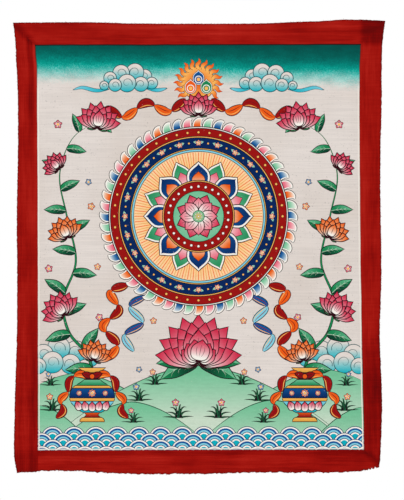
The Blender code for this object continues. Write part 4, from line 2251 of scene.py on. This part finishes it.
@dataclass
class PaintedCanvas:
    """The sheet of canvas: its painted face, its cut edge and its bare back.

    Its back grid is the size of the back's triangles. Flat is its size laid flat, in metres, and nothing here
    uses it.
    """

    form: HangingForm
    edge: CutEdge
    picture: LotusPicture
    thickness: float = 0.8
    back_grid: float = 5
    flat: Place = (0.413, 0.503)

    PAINT = "paint"
    RIM = "rim"
    # The parts of the texture map that hold the face, the cut edge and the back, from left to right.
    FACE_MAP = (0.006, 0.806)
    EDGE_MAP = (0.814, 0.834)
    BACK_MAP = (0.842, 0.994)
    MAP_MARGIN = 0.006
    # How far the fibres of the cut edge swell out between its two faces.
    EDGE_SWELL = 0.1
    # Where two faces meet at more than this angle, in degrees, the edge between them is crisp.
    CRISP_ANGLE = 50

    def build(self) -> Object:
        """Makes the sheet as one closed mesh.

        Returns:
            Its object.
        """
        outline = self.edge.outline()
        coats = self.picture.coats
        face = PictureMap.of(outline, coats)
        back = PictureMap.of(outline, [], self.back_grid)
        LOG.info("picture: %d coats, %d triangles", len(coats), len(face.triangles))
        half = self.thickness / 2
        middle = self.form.hung(grown(outline, self.EDGE_SWELL))
        points = np.vstack([self.form.hung(face.places, -half), self.form.hung(back.places, half), middle])
        back_rim = back.rim + len(face.places)
        middle_rim = np.arange(len(outline)) + len(face.places) + len(back.places)
        edge_faces = np.vstack([self.strip(face.rim, middle_rim), self.strip(middle_rim, back_rim)])
        back_corners = back.triangles[:, ::-1]
        faces = (face.triangles, edge_faces, back_corners + len(face.places))
        mesh = bpy.data.meshes.new("painted_canvas")
        mesh.from_pydata(points.tolist(), [], [corners for part in faces for corners in part.tolist()])
        mesh.polygons.foreach_set("material_index", np.repeat((0, 1, 2), [len(part) for part in faces]))
        for finish in (PaintedFace, CutCotton, CottonBack):
            mesh.materials.append(finish.material())
        soaked = face.soaked(back.places, self.back_grid)[back_corners]
        bare = np.zeros((edge_faces.size, 4))
        colours = np.vstack([face.colours.reshape(-1, 4), bare, soaked.reshape(-1, 4)])
        mesh.attributes.new(self.PAINT, "FLOAT_COLOR", "CORNER").data.foreach_set("color", colours.ravel())
        rim = np.zeros(len(points))
        rim[face.rim] = 1
        mesh.attributes.new(self.RIM, "FLOAT", "POINT").data.foreach_set("value", rim)
        self.map_texture(mesh, face.places[face.triangles], len(outline), back.places[back_corners])
        mesh.shade_smooth()
        mesh.set_sharp_from_angle(angle=math.radians(self.CRISP_ANGLE))
        mesh.validate()
        return shown("painted_canvas", mesh)

    @staticmethod
    def strip(first: Array, second: Array) -> Array:
        """A closed strip of four-sided faces between two rims, facing out of the sheet."""
        return np.stack([first, second, np.roll(second, -1), np.roll(first, -1)], axis=1)

    def map_texture(self, mesh: Mesh, face: Array, around: int, back: Array) -> None:
        """Spreads the sheet over one texture, most of it given to the painted face.

        Args:
            mesh: the sheet.
            face: (n, 3, 2) the flat places of the painted face's triangles.
            around: how many places the cut edge has.
            back: (m, 3, 2) the flat places of the back's triangles.
        """
        low = face.min(axis=(0, 1))
        size = face.max(axis=(0, 1)) - low
        tall = 1 - 2 * self.MAP_MARGIN

        def spread(places: Array, part: Place) -> Array:
            """Lays flat places over one part of the texture.

            Args:
                places: (..., 2) the flat places.
                part: where the part starts and stops across the texture.

            Returns:
                (n, 2) places on the texture.
            """
            share = (places.reshape(-1, 2) - low) / size
            u = part[0] + share[:, 0] * (part[1] - part[0])
            return np.stack([u, self.MAP_MARGIN + share[:, 1] * tall], axis=1)

        v = self.MAP_MARGIN + np.arange(around + 1) / around * tall
        left, right = self.EDGE_MAP
        middle = (left + right) / 2
        strips = []
        for u0, u1 in ((left, middle), (middle, right)):
            u = np.tile((u0, u1, u1, u0), (around, 1))
            strips.append(np.stack([u, np.stack([v[:-1], v[:-1], v[1:], v[1:]], axis=1)], axis=2))
        edge = np.vstack(strips).reshape(-1, 2)
        spots = np.vstack([spread(face, self.FACE_MAP), edge, spread(back, self.BACK_MAP)])
        mesh.uv_layers.new(name="OFBake").uv.foreach_set("vector", spots.ravel())


@dataclass
class LooseThreads:
    """Short thread ends that stick out of the cut edge, laid by Geometry Nodes along it."""

    form: HangingForm
    edge: CutEdge
    count: int = 500
    longest: float = 2.2
    thickness: float = 0.2
    seed: int = 5

    # The middle line of a thread 1 mm long, which starts inside the cloth, and its width along it.
    SPINE = (
        *((-0.8, 0, 0), (0, 0, 0), (0.45, 0.08, 0.02), (0.8, 0.02, 0.2), (0.9, -0.14, 0.45)),
    )
    WIDTHS = (1, 1, 0.95, 0.85, 0.6)
    SIDES = 4

    def thread(self) -> Object:
        """Makes one bent thread end, which grows along +X from inside the cloth.

        Returns:
            An object that isn't in the scene.
        """
        turn = np.radians(45 + 360 / self.SIDES * np.arange(self.SIDES))
        round_it = np.stack([np.zeros(self.SIDES), np.cos(turn), np.sin(turn)], axis=1) * self.thickness / 2
        rings = [np.array(place) + width * round_it for place, width in zip(self.SPINE, self.WIDTHS)]
        numbers = np.arange(self.SIDES * len(rings)).reshape(-1, self.SIDES)
        faces = []
        for near, far in zip(numbers[:-1], numbers[1:]):
            faces += np.stack([near, np.roll(near, -1), np.roll(far, -1), far], axis=1).tolist()
        mesh = bpy.data.meshes.new("thread")
        ends = [numbers[0, ::-1].tolist(), numbers[-1].tolist()]
        mesh.from_pydata((np.vstack(rings) * MM).tolist(), [], faces + ends)
        mesh.shade_smooth()
        return bpy.data.objects.new("thread", mesh)

    def tree(self) -> NodeTree:
        """Builds the node tree that scatters threads along the edge's curve.

        Returns:
            The tree.
        """
        takes = dict.fromkeys(("Edge", "Thread"), "NodeSocketObject")
        takes.update({"Count": "NodeSocketInt", "Longest": 0.002, "Seed": "NodeSocketInt"})
        takes["Fibre"] = "NodeSocketMaterial"
        gives = {"Geometry": "NodeSocketGeometry"}
        bench, take, give = new_group("threads along an edge", "GeometryNodeTree", takes, gives)
        edge, thread = (
            bench.lay("GeometryNodeObjectInfo", {"Object": take[name]}).outputs["Geometry"]
            for name in ("Edge", "Thread")
        )
        along = bench.lay("GeometryNodeCurveToPoints", {"Curve": edge, "Count": take["Count"]}).outputs
        sides = {0: along["Tangent"], 1: (0, -1, 0)}
        out = bench.lay("ShaderNodeVectorMath", sides, operation="CROSS_PRODUCT").outputs[0]

        def chance(low: float, high: float, salt: float) -> Socket:
            """Lays a number drawn evenly for each thread.

            Args:
                low: the lowest that it can be.
                high: the highest.
                salt: what sets its draws apart from the others'.

            Returns:
                The number.
            """
            node = bench.lay("FunctionNodeRandomValue", data_type="FLOAT")
            free = {socket.name: socket for socket in node.inputs if socket.enabled}
            for name, value in (("Min", low), ("Max", high), ("Seed", bench.scaled(take["Seed"], 1, salt))):
                bench.set(free[name], value)
            return next(socket for socket in node.outputs if socket.enabled)

        aimed = bench.lay("FunctionNodeAlignRotationToVector", {"Vector": out}, axis="X").outputs[0]
        tilt = bench.vector(chance(-math.pi, math.pi, 1), chance(-0.7, 0.7, 2), chance(-0.9, 0.9, 3))
        turned = bench.lay("FunctionNodeRotateRotation", {0: aimed, 1: tilt}, rotation_space="LOCAL")
        length = bench.times(
            bench.math("POWER", chance(0.2, 1, 4), 2), bench.math("DIVIDE", take["Longest"], MM)
        )
        thick = chance(0.7, 1.2, 5)
        scale = bench.vector(length, thick, thick)
        copies = {"Points": along["Points"], "Instance": thread, "Rotation": turned.outputs[0]}
        end_in_copies(bench, give, {**copies, "Scale": scale}, take["Fibre"])
        return bench.tree

    def build(self) -> Object:
        """Makes all the thread ends as one mesh.

        Returns:
            Its object.
        """
        values = {
            "Edge": curve_through("cut_edge", self.form.hung(self.edge.outline()), closed=True),
            "Thread": self.thread(),
            "Count": self.count,
            "Longest": self.longest * MM,
            "Seed": self.seed,
            "Fibre": CutCotton.material(),
        }
        return shown("loose_threads", grow("loose_threads", self.tree(), values))


# ----- The studio -----


@dataclass(frozen=True)
class Studio:
    """A pale floor well below the hanging sheet, soft even light, and the photograph's camera.

    Its sizes are in metres. A pixel is the real size of one of the photograph's, at the sheet.
    """

    pixel: float = 1.11 * MM
    view_centre: Place = (3.9 * MM, -251.4 * MM)
    distance: float = 3.2
    floor_drop: float = 0.86
    floor_radius: float = 0.95
    lamp_size: float = 2.6

    PHOTO_HEIGHT = 500
    SENSOR_HEIGHT = 24
    # The strength of the surround as it lights the sheet, and how much more of it the camera sees.
    SURROUND = 0.42
    SURROUND_SEEN = 0.58
    # Each lamp's name, place in metres and power in watts.
    LAMPS = (
        ("key", (-1.5, -3.4, 1.3), 80),
        ("fill", (2, -3, 0.2), 38),
        ("back_fill", (0.6, 3.2, 0.8), 60),
    )

    def build(self) -> None:
        """Sets up everything that isn't part of the object."""
        self.floor()
        self.camera()
        self.surround()
        for name, place, power in self.LAMPS:
            self.lamp(name, place, power)
        bpy.context.scene.view_settings.view_transform = "Standard"
        bpy.context.scene.view_settings.look = "None"

    def floor(self) -> None:
        """Lays the floor, a plain pale disc."""
        mesh = bpy.data.meshes.new("floor")
        points = with_third(disc((0, 0), self.floor_radius, 96), -self.floor_drop)
        mesh.from_pydata(points.tolist(), [], [range(len(points))])
        material, _, shader = new_material("floor_paper")
        shader.inputs["Base Color"].default_value = rgba(232, 231, 228)
        shader.inputs["Roughness"].default_value = 0.9
        mesh.materials.append(material)
        shown("floor", mesh)

    def camera(self) -> None:
        """Sets up a long lens, square to the sheet, that frames what the photograph frames."""
        data = bpy.data.cameras.new("camera")
        data.sensor_fit = "VERTICAL"
        data.sensor_height = self.SENSOR_HEIGHT
        data.lens = self.SENSOR_HEIGHT * self.distance / (self.PHOTO_HEIGHT * self.pixel)
        data.clip_end = 20
        camera = shown("camera", data)
        camera.location = (self.view_centre[0], -self.distance, self.view_centre[1])
        camera.rotation_euler = (math.pi / 2, 0, 0)
        bpy.context.scene.camera = camera

    def surround(self) -> None:
        """Sets up an even white surround, which lights the sheet less strongly than it shows."""
        world = bpy.data.worlds.new("studio")
        world.use_nodes = True
        bench = Bench(world.node_tree)
        seen = bench.lay("ShaderNodeLightPath").outputs["Is Camera Ray"]
        strength = bench.scaled(seen, self.SURROUND_SEEN, self.SURROUND)
        light = bench.lay("ShaderNodeBackground", {"Color": (1, 1, 1, 1), "Strength": strength})
        bench.lay("ShaderNodeOutputWorld", {"Surface": light.outputs[0]})
        bpy.context.scene.world = world

    def lamp(self, name: str, place: Spot, power: float) -> None:
        """Sets up one large soft lamp, turned towards the middle of the sheet.

        Args:
            name: its name.
            place: where it stands, in metres.
            power: its power in watts.
        """
        data = bpy.data.lights.new(name, "AREA")
        data.shape = "SQUARE"
        data.size = self.lamp_size
        data.energy = power
        lamp = shown(name, data)
        lamp.location = place
        middle = Vector((0, 0, self.view_centre[1]))
        lamp.rotation_euler = (middle - Vector(place)).to_track_quat("-Z", "Y").to_euler()


# ----- Putting it together -----


def report(pieces: Iterable[Object]) -> None:
    """Logs each piece's triangles and size.

    Args:
        pieces: the pieces.
    """
    for piece in pieces:
        triangles = sum(len(face.vertices) - 2 for face in piece.data.polygons)
        size = " x ".join(f"{side:.4f}" for side in piece.dimensions)
        LOG.info("%s: %d triangles, %s m", piece.name, triangles, size)


def main() -> None:
    """Builds the sheet, its threads and the studio, and fits the pieces to the frame."""
    logging.basicConfig(level=logging.INFO, format="%(name)s: %(message)s")
    form = HangingForm(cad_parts["canvas"])
    edge = CutEdge(form)
    sheet = PaintedCanvas(form, edge, LotusPicture())
    canvas = sheet.build()
    threads = LooseThreads(form, edge).build()
    for piece in (canvas, threads):
        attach(piece, "root")
    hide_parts("canvas")
    Studio().build()
    report((canvas, threads))


if __name__ == "__main__":
    main()
